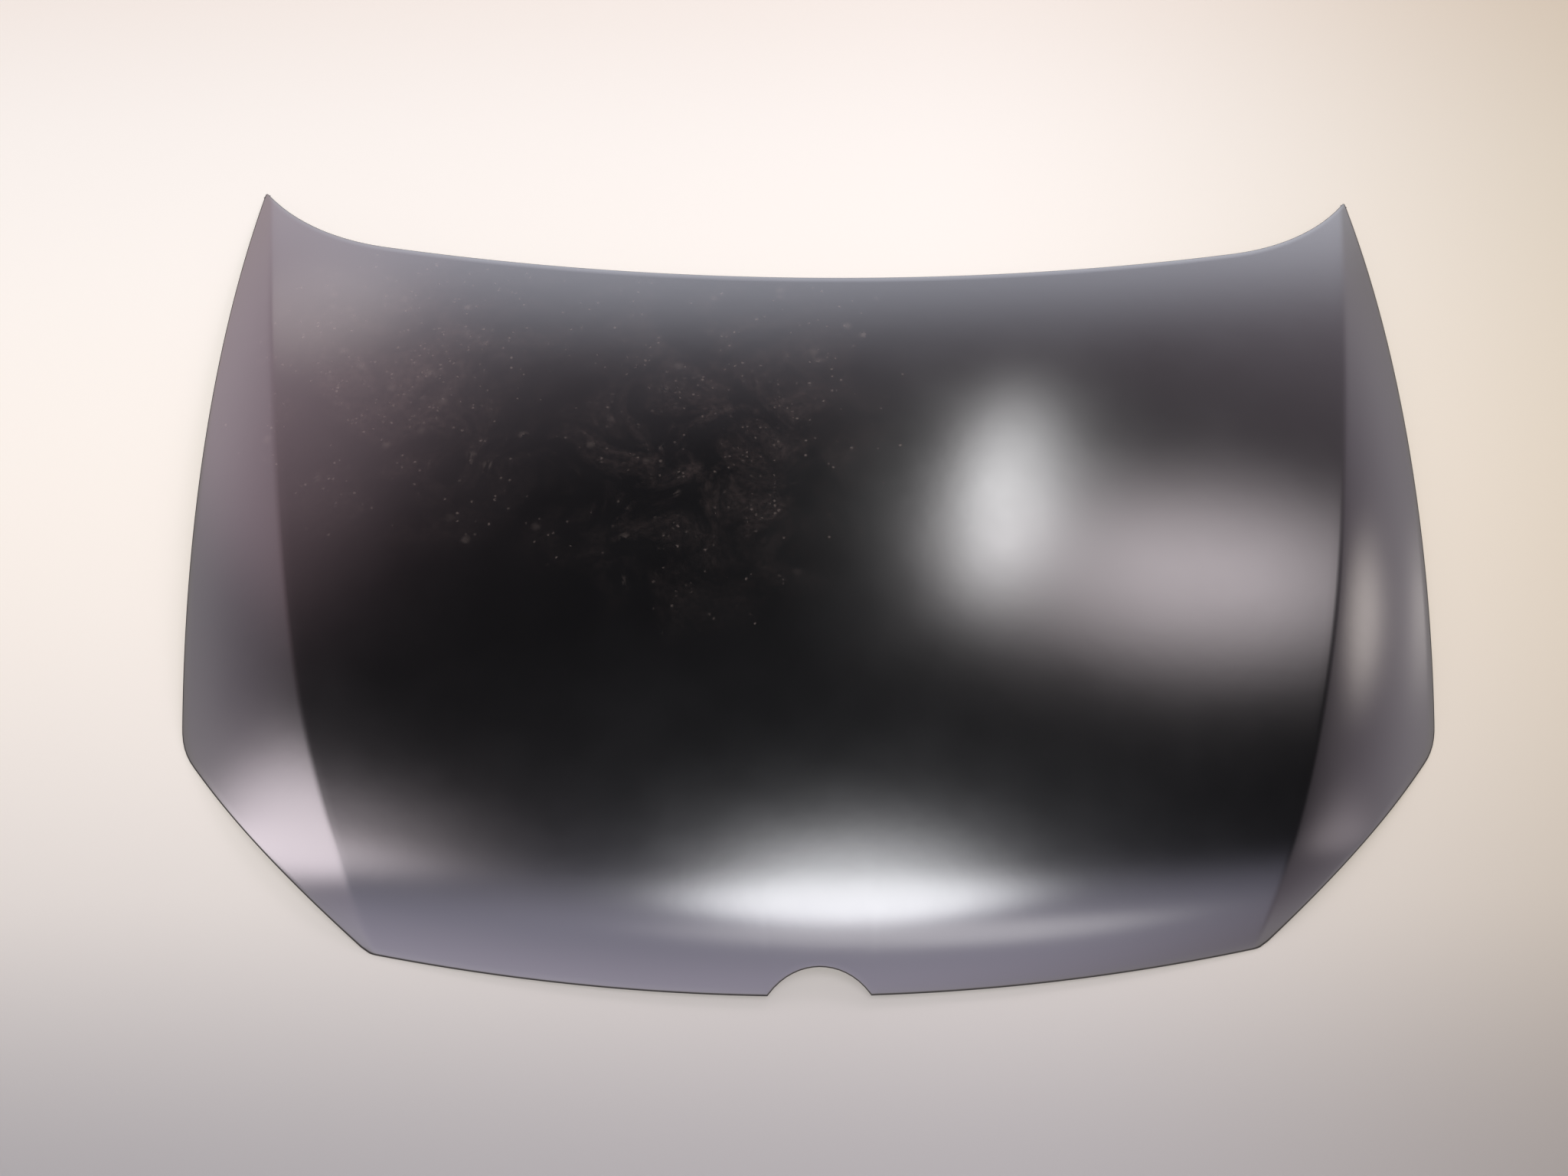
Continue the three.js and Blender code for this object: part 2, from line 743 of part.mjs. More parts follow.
// Raised islands: corners in plan, counter-clockwise, right side.
const rearRowFrontY = crossRibY + crossRibWidth / 2;
const rearRowRearY = rearMiddleY - rearRowFromRearEdge;
const frontRowRearY = crossRibY - crossRibWidth / 2;
const frontRowFrontY = frontY + frontRowFromNose;
const frontRowSideY = frontRowFrontY + frontRowSideBack;
const rearRowFrontEnds = islandEnds(0, creaseX(rearRowFrontY) - rearRowFrontFromCrease,
  rearRowFrontShares);
const rearRowRearEnds = islandEnds(0, creaseX(rearRowRearY) - rearRowRearFromCrease,
  rearRowRearShares);
const frontRowFrontEnds = islandEnds(middleRibWidth / 2,
  creaseX(frontRowFrontY) - frontRowFrontFromCrease, frontRowFrontShares);
const frontRowRearEnds = islandEnds(middleRibWidth / 2,
  creaseX(frontRowRearY) - frontRowRearFromCrease, frontRowRearShares);

function islandBetween(frontEnds, frontEdge, rearEnds, rearEdge) {
  return [[frontEnds[0], frontEdge], [frontEnds[1], frontEdge],
    [rearEnds[1], rearEdge], [rearEnds[0], rearEdge]];
}

const [rearMiddleHalf, ...rearSides] = rearRowFrontEnds.map((ends, k) => (
  islandBetween(ends, rearRowFrontY, rearRowRearEnds[k], rearRowRearY)));
const [, middleFrontEnd, middleRearEnd] = rearMiddleHalf;
const middleIsland = [
  [-middleFrontEnd[0], rearRowFrontY], middleFrontEnd,
  middleRearEnd, [-middleRearEnd[0], rearRowRearY],
];
const [frontInner, frontOuter] = frontRowFrontEnds.map((ends, k) => (
  islandBetween(ends, frontRowFrontY, frontRowRearEnds[k], frontRowRearY)));
const sideCornerOfIsland = [creaseX(frontRowSideY) - frontRowSideFromCrease, frontRowSideY];
const sideIslands = [
  ...rearSides,
  frontInner,
  [...frontOuter.slice(0, 2), sideCornerOfIsland, ...frontOuter.slice(2)],
];
const islands = [
  middleIsland,
  ...sideIslands,
  ...sideIslands.map((corners) => mirroredLoop(corners)),
];

const hingePadX = creaseX(rearMiddleY) - hingePadFromCrease;
const hingePadY = rearEdgeY(hingePadX - hingePadWidth / 2) - hingePadFromRearEdge
  - hingePadLength / 2;
const latchPadY = frontY + latchPadFromNose;
const stopSeatX = frontCornerX - stopSeatFromCorner;
const stopSeatY = frontEdgeY(stopSeatX) + stopSeatFromNose;
const propPadX = stopSeatX - propPadFromStop;
const propPadY = frontEdgeY(propPadX) + propPadFromNose;
const seats = [
  { name: 'hinge left', x: hingePadX, y: hingePadY, drop: hingePadDrop, kind: 'hinge' },
  { name: 'hinge right', x: -hingePadX, y: hingePadY, drop: hingePadDrop, kind: 'hinge' },
  { name: 'latch', x: 0, y: latchPadY, drop: latchPadDrop, kind: 'latch' },
  { name: 'prop', x: propPadX, y: propPadY, drop: propPadDrop, kind: 'prop' },
  { name: 'stop left', x: stopSeatX, y: stopSeatY, drop: stopSeatDrop, kind: 'stop' },
  { name: 'stop right', x: -stopSeatX, y: stopSeatY, drop: stopSeatDrop, kind: 'stop' },
];
const seatSizes = {
  hinge: [hingePadWidth, hingePadLength],
  latch: [latchPadWidth, latchPadLength],
  prop: [propPadWidth, propPadLength],
  stop: [stopSeatDiameter, stopSeatDiameter],
};
seats.forEach((seat) => {
  Object.assign(seat, seatPlane(seat.x, seat.y, seat.drop));
  const [width, length] = seatSizes[seat.kind];
  const radius = seat.kind === 'stop' ? stopSeatDiameter / 2 - 0.5 : padCornerRadius;
  seat.loop = (grow) => (
    roundedPolygon(rectangleCorners(seat.x, seat.y, width, length), radius, grow));
});

const islandLoop = (corners, grow) => roundedPolygon(corners, islandCornerRadius, grow);
const floorHoles = [
  ...islands.map((corners) => islandLoop(corners, wallRun - joinOverlap)),
  ...seats.map((seat) => seat.loop(padWallRun - joinOverlap)),
];
const flangeLevel = middleOf(flangeTop);
const ribLevel = middleOf(ribTop);
const lipLevel = middleOf(islandTop);

// Each wall runs a little way into the sheets that it joins.
let innerPanel = layer(flangeTop, flangeUnder, flangeOutside, [grown(channelTop, -joinOverlap)]);
innerPanel = innerPanel.add(layer(ribTop, ribUnder, grown(channelLoop, joinOverlap), floorHoles));
innerPanel = innerPanel.add(formedRing([channelLoop, channelTop], [ribLevel, flangeLevel],
  [endHalfSheet, endHalfSheet]));
islands.forEach((corners) => {
  const loops = [-islandLipWidth, 0, wallRun].map((grow) => islandLoop(corners, grow));
  innerPanel = innerPanel.add(formedRing(loops, [lipLevel, lipLevel, ribLevel],
    [wallHalfSheet, wallHalfSheet, endHalfSheet]));
});
seats.forEach((seat) => {
  const seatLevel = (x, y) => seat.at(x, y) - panelThickness / 2;
  const loops = [0, padWallRun].map((grow) => seat.loop(grow));
  innerPanel = innerPanel.add(flatPlate(seat, seat.loop(joinOverlap), [], -panelThickness, 0));
  innerPanel = innerPanel.add(formedRing(loops, [seatLevel, ribLevel],
    [endHalfSheet, endHalfSheet]));
});

// Clip holes for a lining, in the ribs
const noseClipY = frontRowFrontY - noseClipFromIsland;
const clipPlaces = [[0, crossRibY], [sideClipX, crossRibY], [-sideClipX, crossRibY],
  [noseClipX, noseClipY], [-noseClipX, noseClipY]];

// Bolt places on the hinge and latch seats, and the slot for the prop rod

const seatNamed = (name) => seats.find((seat) => seat.name === name);
const boltPlaces = (seat) => {
  const half = (seat.kind === 'hinge' ? hingeBoltSpacing : latchBoltSpacing) / 2;
  return [-1, 1].map((side) => (
    seat.kind === 'hinge' ? [seat.x, seat.y + side * half] : [seat.x + side * half, seat.y]));
};
const boltedSeats = seats.filter((seat) => ['hinge', 'latch'].includes(seat.kind));
boltedSeats.forEach((seat) => boltPlaces(seat).forEach((place) => {
  innerPanel = innerPanel.subtract(boltTool(seat, place));
}));
const propSeat = seatNamed('prop');
const propSlot = roundedPolygon(
  rectangleCorners(propPadX, propPadY, propSlotLength, propSlotWidth), propSlotWidth / 2 - 0.1);
innerPanel = innerPanel.subtract(flatPlate(propSeat, propSlot, [], -8, 8));
clipPlaces.forEach(([x, y]) => {
  const drill = prism(circlePoints(x, y, clipHoleDiameter, 8), [], ribTop(x, y) - 12, ribTop(x, y) + 8);
  innerPanel = innerPanel.subtract(drill);
});

const group = new THREE.Group();

function addPiece(name, solid, material) {
  const { vertProperties, numProp, triVerts } = solid.getMesh();
  const geometry = new THREE.BufferGeometry();
  const positions = new Float32Array(vertProperties.length / numProp * 3);
  for (let k = 0; k < positions.length / 3; k += 1) {
    for (let axis = 0; axis < 3; axis += 1) {
      positions[k * 3 + axis] = vertProperties[k * numProp + axis];
    }
  }
  geometry.setAttribute('position', new THREE.BufferAttribute(positions, 3));
  geometry.setIndex(new THREE.BufferAttribute(new Uint32Array(triVerts), 1));
  geometry.computeVertexNormals();
  const mesh = new THREE.Mesh(geometry, new THREE.MeshStandardMaterial(material));
  mesh.name = name;
  group.add(mesh);
}

const skinCoat = { color: 0x141517, roughness: 0.3, metalness: 0.1 };
const panelCoat = { color: 0x1b1c1f, roughness: 0.45, metalness: 0.1 };
const plateCoat = { color: 0x222326, roughness: 0.5, metalness: 0.2 };
const nutFinish = { color: 0x3a3b3e, roughness: 0.4, metalness: 0.8 };
const mastic = { color: 0x4a463f, roughness: 0.9, metalness: 0 };

addPiece('outer_skin', outerSkin, skinCoat);
addPiece('inner_panel', innerPanel, panelCoat);

// Stiffening plate on the upper side of a seat.
function seatPlate(seat, thickness, holes) {
  const [width, length] = seatSizes[seat.kind];
  const loop = roundedPolygon(rectangleCorners(seat.x, seat.y, width - 2 * plateMargin,
    length - 2 * plateMargin), padCornerRadius - plateMargin);
  return flatPlate(seat, loop, holes, fitGap, fitGap + thickness);
}

const plateThickness = { hinge: hingePlateThickness, latch: latchPlateThickness };
boltedSeats.forEach((seat) => {
  const thickness = plateThickness[seat.kind];
  let plate = seatPlate(seat, thickness, []);
  boltPlaces(seat).forEach((place) => { plate = plate.subtract(boltTool(seat, place)); });
  const label = seat.name.replace(' ', '_');
  addPiece(`${label}_plate`, plate, plateCoat);
  boltPlaces(seat).forEach(([x, y], k) => {
    const low = fitGap + thickness + fitGap;
    const hexagon = circlePoints(0, 0, nutAcrossFlats / Math.cos(Math.PI / 6), 6);
    const nut = standOn(seat, x, y, hexagon, [circlePoints(0, 0, nutBore, 12)], low, low + nutHeight);
    addPiece(`${label}_nut_${k + 1}`, nut, nutFinish);
  });
});
addPiece('prop_rod_plate', seatPlate(propSeat, propPlateThickness, [propSlot]), plateCoat);

// Mastic dab between the skin and an island's lip.
function dab(x, y) {
  const geometry = new THREE.ExtrudeGeometry(shapeOf(circlePoints(x, y, dabDiameter, 8)), {
    depth: 1, bevelEnabled: false, steps: 1,
  });
  const position = geometry.getAttribute('position');
  for (let k = 0; k < position.count; k += 1) {
    const [px, py] = [position.getX(k), position.getY(k)];
    const up = levelAt(skinUnder, px, py) - dabGap;
    const down = levelAt(islandTop, px, py) + dabGap;
    position.setZ(k, position.getZ(k) > 0.5 ? up : down);
  }
  return solidFromGeometry(geometry);
}

// Two dabs to an island, on the lips along its front and its rear.
const dabPlaces = islands.flatMap((corners) => {
  const bySide = [...corners].sort((a, b) => a[1] - b[1]);
  const middle = (a, b, inward) => [(a[0] + b[0]) / 2, (a[1] + b[1]) / 2 + inward];
  const [front, rear] = [bySide.slice(0, 2), bySide.slice(-2)];
  return [middle(...front, islandLipWidth / 2), middle(...rear, -islandLipWidth / 2)];
});
dabPlaces.forEach(([x, y], k) => {
  addPiece(`mastic_dab_${String(k + 1).padStart(2, '0')}`, dab(x, y), mastic);
});

// The origin goes to the middle of the floor under the bonnet.
const box = new THREE.Box3().setFromObject(group);
const middle = box.getCenter(new THREE.Vector3());
group.children.forEach((mesh) => mesh.geometry.translate(-middle.x, -middle.y, -box.min.z));

export default group;
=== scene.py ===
import math

import bmesh
import bpy
import numpy as np
from mathutils import Euler, Matrix, Vector
from mathutils.geometry import delaunay_2d_cdt


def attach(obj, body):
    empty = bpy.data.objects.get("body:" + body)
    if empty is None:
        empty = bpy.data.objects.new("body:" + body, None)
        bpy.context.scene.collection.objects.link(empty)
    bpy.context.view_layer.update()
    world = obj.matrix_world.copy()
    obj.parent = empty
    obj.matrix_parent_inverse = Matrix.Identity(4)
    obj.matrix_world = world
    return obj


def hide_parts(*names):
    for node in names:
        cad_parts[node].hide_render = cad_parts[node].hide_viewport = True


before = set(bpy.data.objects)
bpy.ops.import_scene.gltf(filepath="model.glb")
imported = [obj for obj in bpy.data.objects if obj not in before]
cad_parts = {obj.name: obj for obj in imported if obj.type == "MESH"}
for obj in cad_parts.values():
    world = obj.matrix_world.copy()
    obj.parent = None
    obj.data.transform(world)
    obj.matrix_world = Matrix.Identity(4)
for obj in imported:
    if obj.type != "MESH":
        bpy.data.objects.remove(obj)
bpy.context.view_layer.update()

# Car bonnet: the outer skin with its folded edge, the inner panel below it, and the plates,
# nuts and mastic between them. Metres; X across the car, Y from nose to windscreen, Z up.

MM = 0.001

# Plan of the skin, right half
BONNET_LENGTH = 1100 * MM
TIP_HALF_WIDTH = 686 * MM
SIDE_CORNER = np.array([720, -240]) * MM
FRONT_CORNER_X = 495 * MM
FRONT_BOW = 58 * MM
NOTCH_HALF_WIDTH = 57 * MM
NOTCH_DEPTH = 25 * MM
SIDE_BULGE = 18.9 * MM
LAMP_EDGE_BULGE = 13 * MM
REAR_SWEEP = 200 * MM
REAR_ARC_HALF_WIDTH = 525 * MM
REAR_ARC_RISE = 76 * MM
FRONT_CORNER_CUT = 9 * MM
SIDE_CORNER_CUT = 24 * MM
TIP_CUT = 6 * MM

# Crown of the skin
CROSS_RADIUS = 4200 * MM
FRONT_RADIUS = 1700 * MM
REAR_RADIUS = 1850 * MM
CROWN_PEAK_Y = 40 * MM
NOSE_ROLL_LENGTH = 130 * MM
NOSE_ROLL_DROP = 26.5 * MM
CREASE_FROM_TIP = 6 * MM
CREASE_STRAIGHT_SHARE = 0.58
CREASE_SWEEP_POWER = 4.9
FLANK_SLOPE = 0.2
FLANK_RADIUS = 450 * MM
CREASE_SOFTNESS = 4 * MM
SHARP = 1e-6 * MM

# Sheets, the fold and the place of it all on the floor
SHEET = 0.8 * MM
HEM_DEPTH = 3.0 * MM
HEM_WIDTH = 12 * MM
FOLD_RADIUS = HEM_DEPTH / 2
SHIFT_Y = 1.1936 * MM
SHIFT_Z = -0.45 * MM

# Points along the outline's curves
NOTCH_POINTS = 15
FRONT_POINTS = 90
LAMP_EDGE_STEPS = 60
SIDE_STEPS = 120
REAR_POINTS = 90
FLICK_POINTS = 60
CORNER_STEPS = 8
CROSSING_SHARE = 0.985

# Grid of the skin: columns that follow the crease, rows that follow nose and rear edge
INNER_STEPS = 62
NOTCH_STEPS = 8
FLANK_STEPS = 15
CREASE_SHOULDER_SHARE = 0.08
NOSE_SHARE = 0.12
NOSE_ROWS = 22
BODY_ROWS = 108
FOLD_STEPS = 6
HALVINGS = 48
BEYOND_EDGE = 10 * MM
WELD_GAP = 0.02 * MM
SKIN_SMOOTH_ANGLE = math.radians(40)

FRONT_Y = -BONNET_LENGTH / 2
REAR_Y = BONNET_LENGTH / 2
REAR_MIDDLE_Y = REAR_Y - REAR_SWEEP
FRONT_CORNER_Y = FRONT_Y + FRONT_BOW


# Crown of the bonnet

def front_edge(x):
    share = (x * x - NOTCH_HALF_WIDTH ** 2) / (FRONT_CORNER_X ** 2 - NOTCH_HALF_WIDTH ** 2)
    return FRONT_Y + FRONT_BOW * share


def crease(y):
    """Half width of the crease from the rear tip to the front corner."""
    t = (REAR_Y - y) / (REAR_Y - FRONT_CORNER_Y)
    sweep = np.sign(t) * np.abs(t) ** CREASE_SWEEP_POWER
    share = CREASE_STRAIGHT_SHARE * t + (1 - CREASE_STRAIGHT_SHARE) * sweep
    return TIP_HALF_WIDTH - CREASE_FROM_TIP - (TIP_HALF_WIDTH - FRONT_CORNER_X) * share


def raw_crown(x, y, softness):
    across = np.abs(x)
    along = y - CROWN_PEAK_Y
    radius = np.where(along > 0, REAR_RADIUS, FRONT_RADIUS)
    past = across - crease(y)
    soft = (past + softness) ** 2 / (4 * softness)
    outside = np.where(past >= softness, past, np.where(past <= -softness, 0, soft))
    roll = np.maximum(0, NOSE_ROLL_LENGTH - (y - front_edge(across)))
    return (-along ** 2 / (2 * radius) - across ** 2 / (2 * CROSS_RADIUS)
            - outside * FLANK_SLOPE - outside ** 2 / (2 * FLANK_RADIUS)
            - NOSE_ROLL_DROP * (roll / NOSE_ROLL_LENGTH) ** 3)


TIP_CROWN = raw_crown(TIP_HALF_WIDTH, REAR_Y, SHARP)
REST_SLOPE = (raw_crown(FRONT_CORNER_X, FRONT_CORNER_Y, SHARP) - TIP_CROWN) / (
    REAR_Y - FRONT_CORNER_Y)


def crown(x, y):
    """Height of the skin's upper face over a place in plan, before the move to the floor."""
    level = raw_crown(x, y, CREASE_SOFTNESS) - TIP_CROWN
    return level + REST_SLOPE * (y - REAR_Y) + HEM_DEPTH


# Outline of the skin, right half

def bulged(start, end, bulge, steps):
    t = np.linspace(0, 1, steps + 1)[:, None]
    way = end - start
    out = np.array([way[1], -way[0]]) / np.hypot(*way)
    return start + way * t + out * 4 * bulge * t * (1 - t)


def reached(points):
    """Length of a curve up to each of its points."""
    return np.concatenate([[0], np.cumsum(np.hypot(*np.diff(points, axis=0).T))])


def cut_back(points, cut):
    """A curve shortened at its start by a length."""
    reach = reached(points)
    k = int(np.searchsorted(reach, cut, side="right")) - 1
    share = (cut - reach[k]) / (reach[k + 1] - reach[k])
    first = points[k] * (1 - share) + points[k + 1] * share
    return np.vstack([first, points[k + 1:]])


def cut_at_both_ends(points, start_cut, end_cut):
    return cut_back(cut_back(points, start_cut)[::-1], end_cut)[::-1]


def rounded(start, corner, end):
    t = np.linspace(0, 1, CORNER_STEPS + 1)[:, None]
    return start * (1 - t) ** 2 + corner * 2 * t * (1 - t) + end * t ** 2


def outline_parts():
    """Front, side and rear curves, met at the middle of the rounded corner and tip."""
    notch_radius = (NOTCH_HALF_WIDTH ** 2 + NOTCH_DEPTH ** 2) / (2 * NOTCH_DEPTH)
    turn = np.linspace(0, math.asin(NOTCH_HALF_WIDTH / notch_radius), NOTCH_POINTS)
    notch = np.stack([notch_radius * np.sin(turn),
                      FRONT_Y + NOTCH_DEPTH - notch_radius * (1 - np.cos(turn))], axis=1)
    x = np.linspace(NOTCH_HALF_WIDTH, FRONT_CORNER_X, FRONT_POINTS)
    front = np.stack([x, front_edge(x)], axis=1)
    corner = np.array([FRONT_CORNER_X, FRONT_CORNER_Y])
    tip = np.array([TIP_HALF_WIDTH, REAR_Y])
    lamp = bulged(corner, SIDE_CORNER, LAMP_EDGE_BULGE, LAMP_EDGE_STEPS)
    side = bulged(SIDE_CORNER, tip, SIDE_BULGE, SIDE_STEPS)

    rear_radius = (REAR_ARC_HALF_WIDTH ** 2 + REAR_ARC_RISE ** 2) / (2 * REAR_ARC_RISE)
    rear_turn = math.asin(REAR_ARC_HALF_WIDTH / rear_radius)
    turn = np.linspace(rear_turn, 0, REAR_POINTS)
    rear = np.stack([rear_radius * np.sin(turn),
                     REAR_MIDDLE_Y + rear_radius * (1 - np.cos(turn))], axis=1)
    to_tip = tip - rear[0]
    flick_radius = to_tip @ to_tip / (
        2 * (to_tip[1] * math.cos(rear_turn) - to_tip[0] * math.sin(rear_turn)))
    centre = rear[0] + flick_radius * np.array([-math.sin(rear_turn), math.cos(rear_turn)])
    tip_turn = math.atan2(*(tip - centre)[::-1])
    turn = np.linspace(tip_turn, rear_turn - math.pi / 2, FLICK_POINTS)
    flick = centre + flick_radius * np.stack([np.cos(turn), np.sin(turn)], axis=1)

    front = cut_back(front[::-1], FRONT_CORNER_CUT)[::-1]
    lamp = cut_at_both_ends(lamp, FRONT_CORNER_CUT, SIDE_CORNER_CUT)
    side = cut_at_both_ends(side, SIDE_CORNER_CUT, TIP_CUT)
    flick = cut_back(flick, TIP_CUT)
    front_round = rounded(front[-1], corner, lamp[0])
    side_round = rounded(lamp[-1], SIDE_CORNER, side[0])
    tip_round = rounded(side[-1], tip, flick[0])
    middle = len(front_round) // 2
    front_part = np.vstack([notch, front[1:], front_round[1:middle + 1]])
    side_part = np.vstack([front_round[middle:], lamp[1:], side_round[1:], side[1:],
                           tip_round[1:middle + 1]])
    rear_part = np.vstack([tip_round[middle:], flick[1:], rear[1:]])
    return front_part, side_part, rear_part


def inward(points):
    """Unit directions to the left of a half outline, square at its two ends."""
    ahead = np.diff(points, axis=0)
    ahead = ahead / np.hypot(*ahead.T)[:, None]
    middle = ahead[:-1] + ahead[1:]
    way = np.vstack([[1, 0], middle / np.hypot(*middle.T)[:, None], [-1, 0]])
    return np.stack([-way[:, 1], way[:, 0]], axis=1)


FRONT_PART, SIDE_PART, REAR_PART = outline_parts()
OUTLINE = np.vstack([FRONT_PART, SIDE_PART[1:], REAR_PART[1:]])
INWARD = inward(OUTLINE)
FOLD_LINE = OUTLINE + INWARD * FOLD_RADIUS
FRONT_FOLD = FOLD_LINE[:len(FRONT_PART)]
SIDE_FOLD = FOLD_LINE[len(FRONT_PART) - 1:len(FRONT_PART) + len(SIDE_PART) - 1]
REAR_FOLD = FOLD_LINE[len(FRONT_PART) + len(SIDE_PART) - 2:][::-1]


def nearest_on_line(line, place):
    """Step of a line nearest to a place, the share of the way along it, and the point there."""
    start, way = line[:-1], np.diff(line, axis=0)
    share = np.clip(((place - start) * way).sum(axis=1) / (way ** 2).sum(axis=1), 0, 1)
    near = start + way * share[:, None]
    k = int(np.argmin(((near - place) ** 2).sum(axis=1)))
    return k, share[k], near[k]


def inset_outline(inset):
    """The half outline moved in, without the parts that would cross."""
    kept = []
    for place in OUTLINE + INWARD * inset:
        gap = np.hypot(*(nearest_on_line(OUTLINE, place)[2] - place))
        if gap > inset * CROSSING_SHARE and place[0] > -SHARP:
            kept.append(place)
    return np.array(kept)


HEM_LINE = inset_outline(HEM_WIDTH)


# Skin

def column_lines():
    """One function of y for each column of the right half, from the middle out."""
    notch_share = FRONT_FOLD[NOTCH_POINTS - 1, 0] / (crease(FRONT_Y) - CREASE_SOFTNESS)
    shares = np.concatenate([np.linspace(0, notch_share, NOTCH_STEPS + 1),
                             np.linspace(notch_share, 1, INNER_STEPS + 1)[1:]])
    lines = [lambda y, s=s: (crease(y) - CREASE_SOFTNESS) * s for s in shares]
    lines.append(lambda y: crease(y) - CREASE_SOFTNESS / 2)
    lines.append(crease)

    def flank(y):
        """Width of the flank, and the width of the crease's soft shoulder on it."""
        width = np.interp(y, SIDE_FOLD[:, 1], SIDE_FOLD[:, 0]) - crease(y)
        return width, np.minimum(CREASE_SOFTNESS / 2, width * CREASE_SHOULDER_SHARE)

    def past_crease(y, share):
        width, shoulder = flank(y)
        return crease(y) + 2 * shoulder + (width - 2 * shoulder) * share

    lines.append(lambda y: crease(y) + flank(y)[1])
    for s in np.linspace(0, 1, FLANK_STEPS + 1):
        lines.append(lambda y, s=s: past_crease(y, s))
    return lines


def meets(line, edge, low, high):
    """Where a column meets the front or the rear edge."""
    for _ in range(HALVINGS):
        middle = (low + high) / 2
        if middle < np.interp(line(middle), edge[:, 0], edge[:, 1]):
            low = middle
        else:
            high = middle
    return (low + high) / 2


def skin_places():
    """Places in plan of the grid's points. The rows lie closer together at the nose."""
    rows = np.concatenate([np.linspace(0, NOSE_SHARE, NOSE_ROWS),
                           np.linspace(NOSE_SHARE, 1, BODY_ROWS)[1:]])
    right = []
    for line in column_lines():
        low = meets(line, FRONT_FOLD, FRONT_Y - BEYOND_EDGE, FRONT_CORNER_Y + 5 * BEYOND_EDGE)
        high = meets(line, REAR_FOLD, REAR_MIDDLE_Y - BEYOND_EDGE, REAR_Y + BEYOND_EDGE / 10)
        y = low + (high - low) * rows
        right.append(np.stack([line(y), y], axis=1))
    right = np.array(right)
    left = right[:0:-1] * np.array([-1, 1])
    return np.concatenate([left, right])


def open_rim(mesh):
    bpy.ops.mesh.select_mode(type="EDGE")
    bpy.ops.mesh.select_all(action="DESELECT")
    bpy.ops.mesh.select_non_manifold(extend=False, use_wire=False, use_boundary=True,
                                     use_multi_face=False, use_non_contiguous=False,
                                     use_verts=False)
    return bmesh.from_edit_mesh(mesh)


def folded_edge(mesh):
    """Rolls the skin's edge over and lays the hem below it."""
    bm = open_rim(mesh)
    base = {}
    for vert in bm.verts:
        if vert.select:
            place = np.array([abs(vert.co.x), vert.co.y - SHIFT_Y])
            k, share, _ = nearest_on_line(FOLD_LINE, place)
            direction = INWARD[k] * (1 - share) + INWARD[k + 1] * share
            side = -1 if vert.co.x < 0 else 1
            base[vert.index] = (side, place, direction / np.hypot(*direction))
    turns = [math.pi * k / FOLD_STEPS for k in range(1, FOLD_STEPS + 1)]
    steps = [(-FOLD_RADIUS * math.sin(a), FOLD_RADIUS * (1 - math.cos(a))) for a in turns]
    steps += [(HEM_WIDTH / 2 - FOLD_RADIUS, HEM_DEPTH), (None, HEM_DEPTH)]
    for inset, drop in steps:
        bpy.ops.mesh.extrude_region_move(TRANSFORM_OT_translate={"value": (0, 0, 0)})
        bm = bmesh.from_edit_mesh(mesh)
        bm.verts.index_update()
        bm.verts.ensure_lookup_table()
        new_base = {}
        for vert in bm.verts:
            if not vert.select:
                continue
            origin = next(e.other_vert(vert) for e in vert.link_edges
                          if not e.other_vert(vert).select)
            side, place, direction = base[origin.index]
            if inset is None:
                wanted = place + direction * (HEM_WIDTH - FOLD_RADIUS)
                at = nearest_on_line(HEM_LINE, wanted)[2]
            else:
                at = place + direction * inset
            vert.co = (side * at[0], at[1] + SHIFT_Y, crown(*at) - drop + SHIFT_Z)
            new_base[vert.index] = (side, place, direction)
        base = new_base
        bmesh.update_edit_mesh(mesh)


def finished_sheet(piece, weld_gap, smooth_angle):
    """Merges doubles, turns the faces up, gives the sheet its thickness below and smooths it."""
    bpy.ops.object.mode_set(mode="EDIT")
    bpy.ops.mesh.select_mode(type="VERT")
    bpy.ops.mesh.select_all(action="SELECT")
    bpy.ops.mesh.delete_loose()
    bpy.ops.mesh.select_all(action="SELECT")
    bpy.ops.mesh.remove_doubles(threshold=weld_gap)
    bpy.ops.mesh.normals_make_consistent(inside=False)
    bpy.ops.object.mode_set(mode="OBJECT")
    top = max(piece.data.polygons, key=lambda face: face.center.z)
    if top.normal.z < 0:
        bpy.ops.object.mode_set(mode="EDIT")
        bpy.ops.mesh.select_all(action="SELECT")
        bpy.ops.mesh.flip_normals()
        bpy.ops.object.mode_set(mode="OBJECT")
    solid = piece.modifiers.new("sheet", "SOLIDIFY")
    solid.thickness = SHEET
    solid.offset = -1
    bpy.ops.object.modifier_apply(modifier=solid.name)
    bpy.ops.object.shade_smooth_by_angle(angle=smooth_angle)


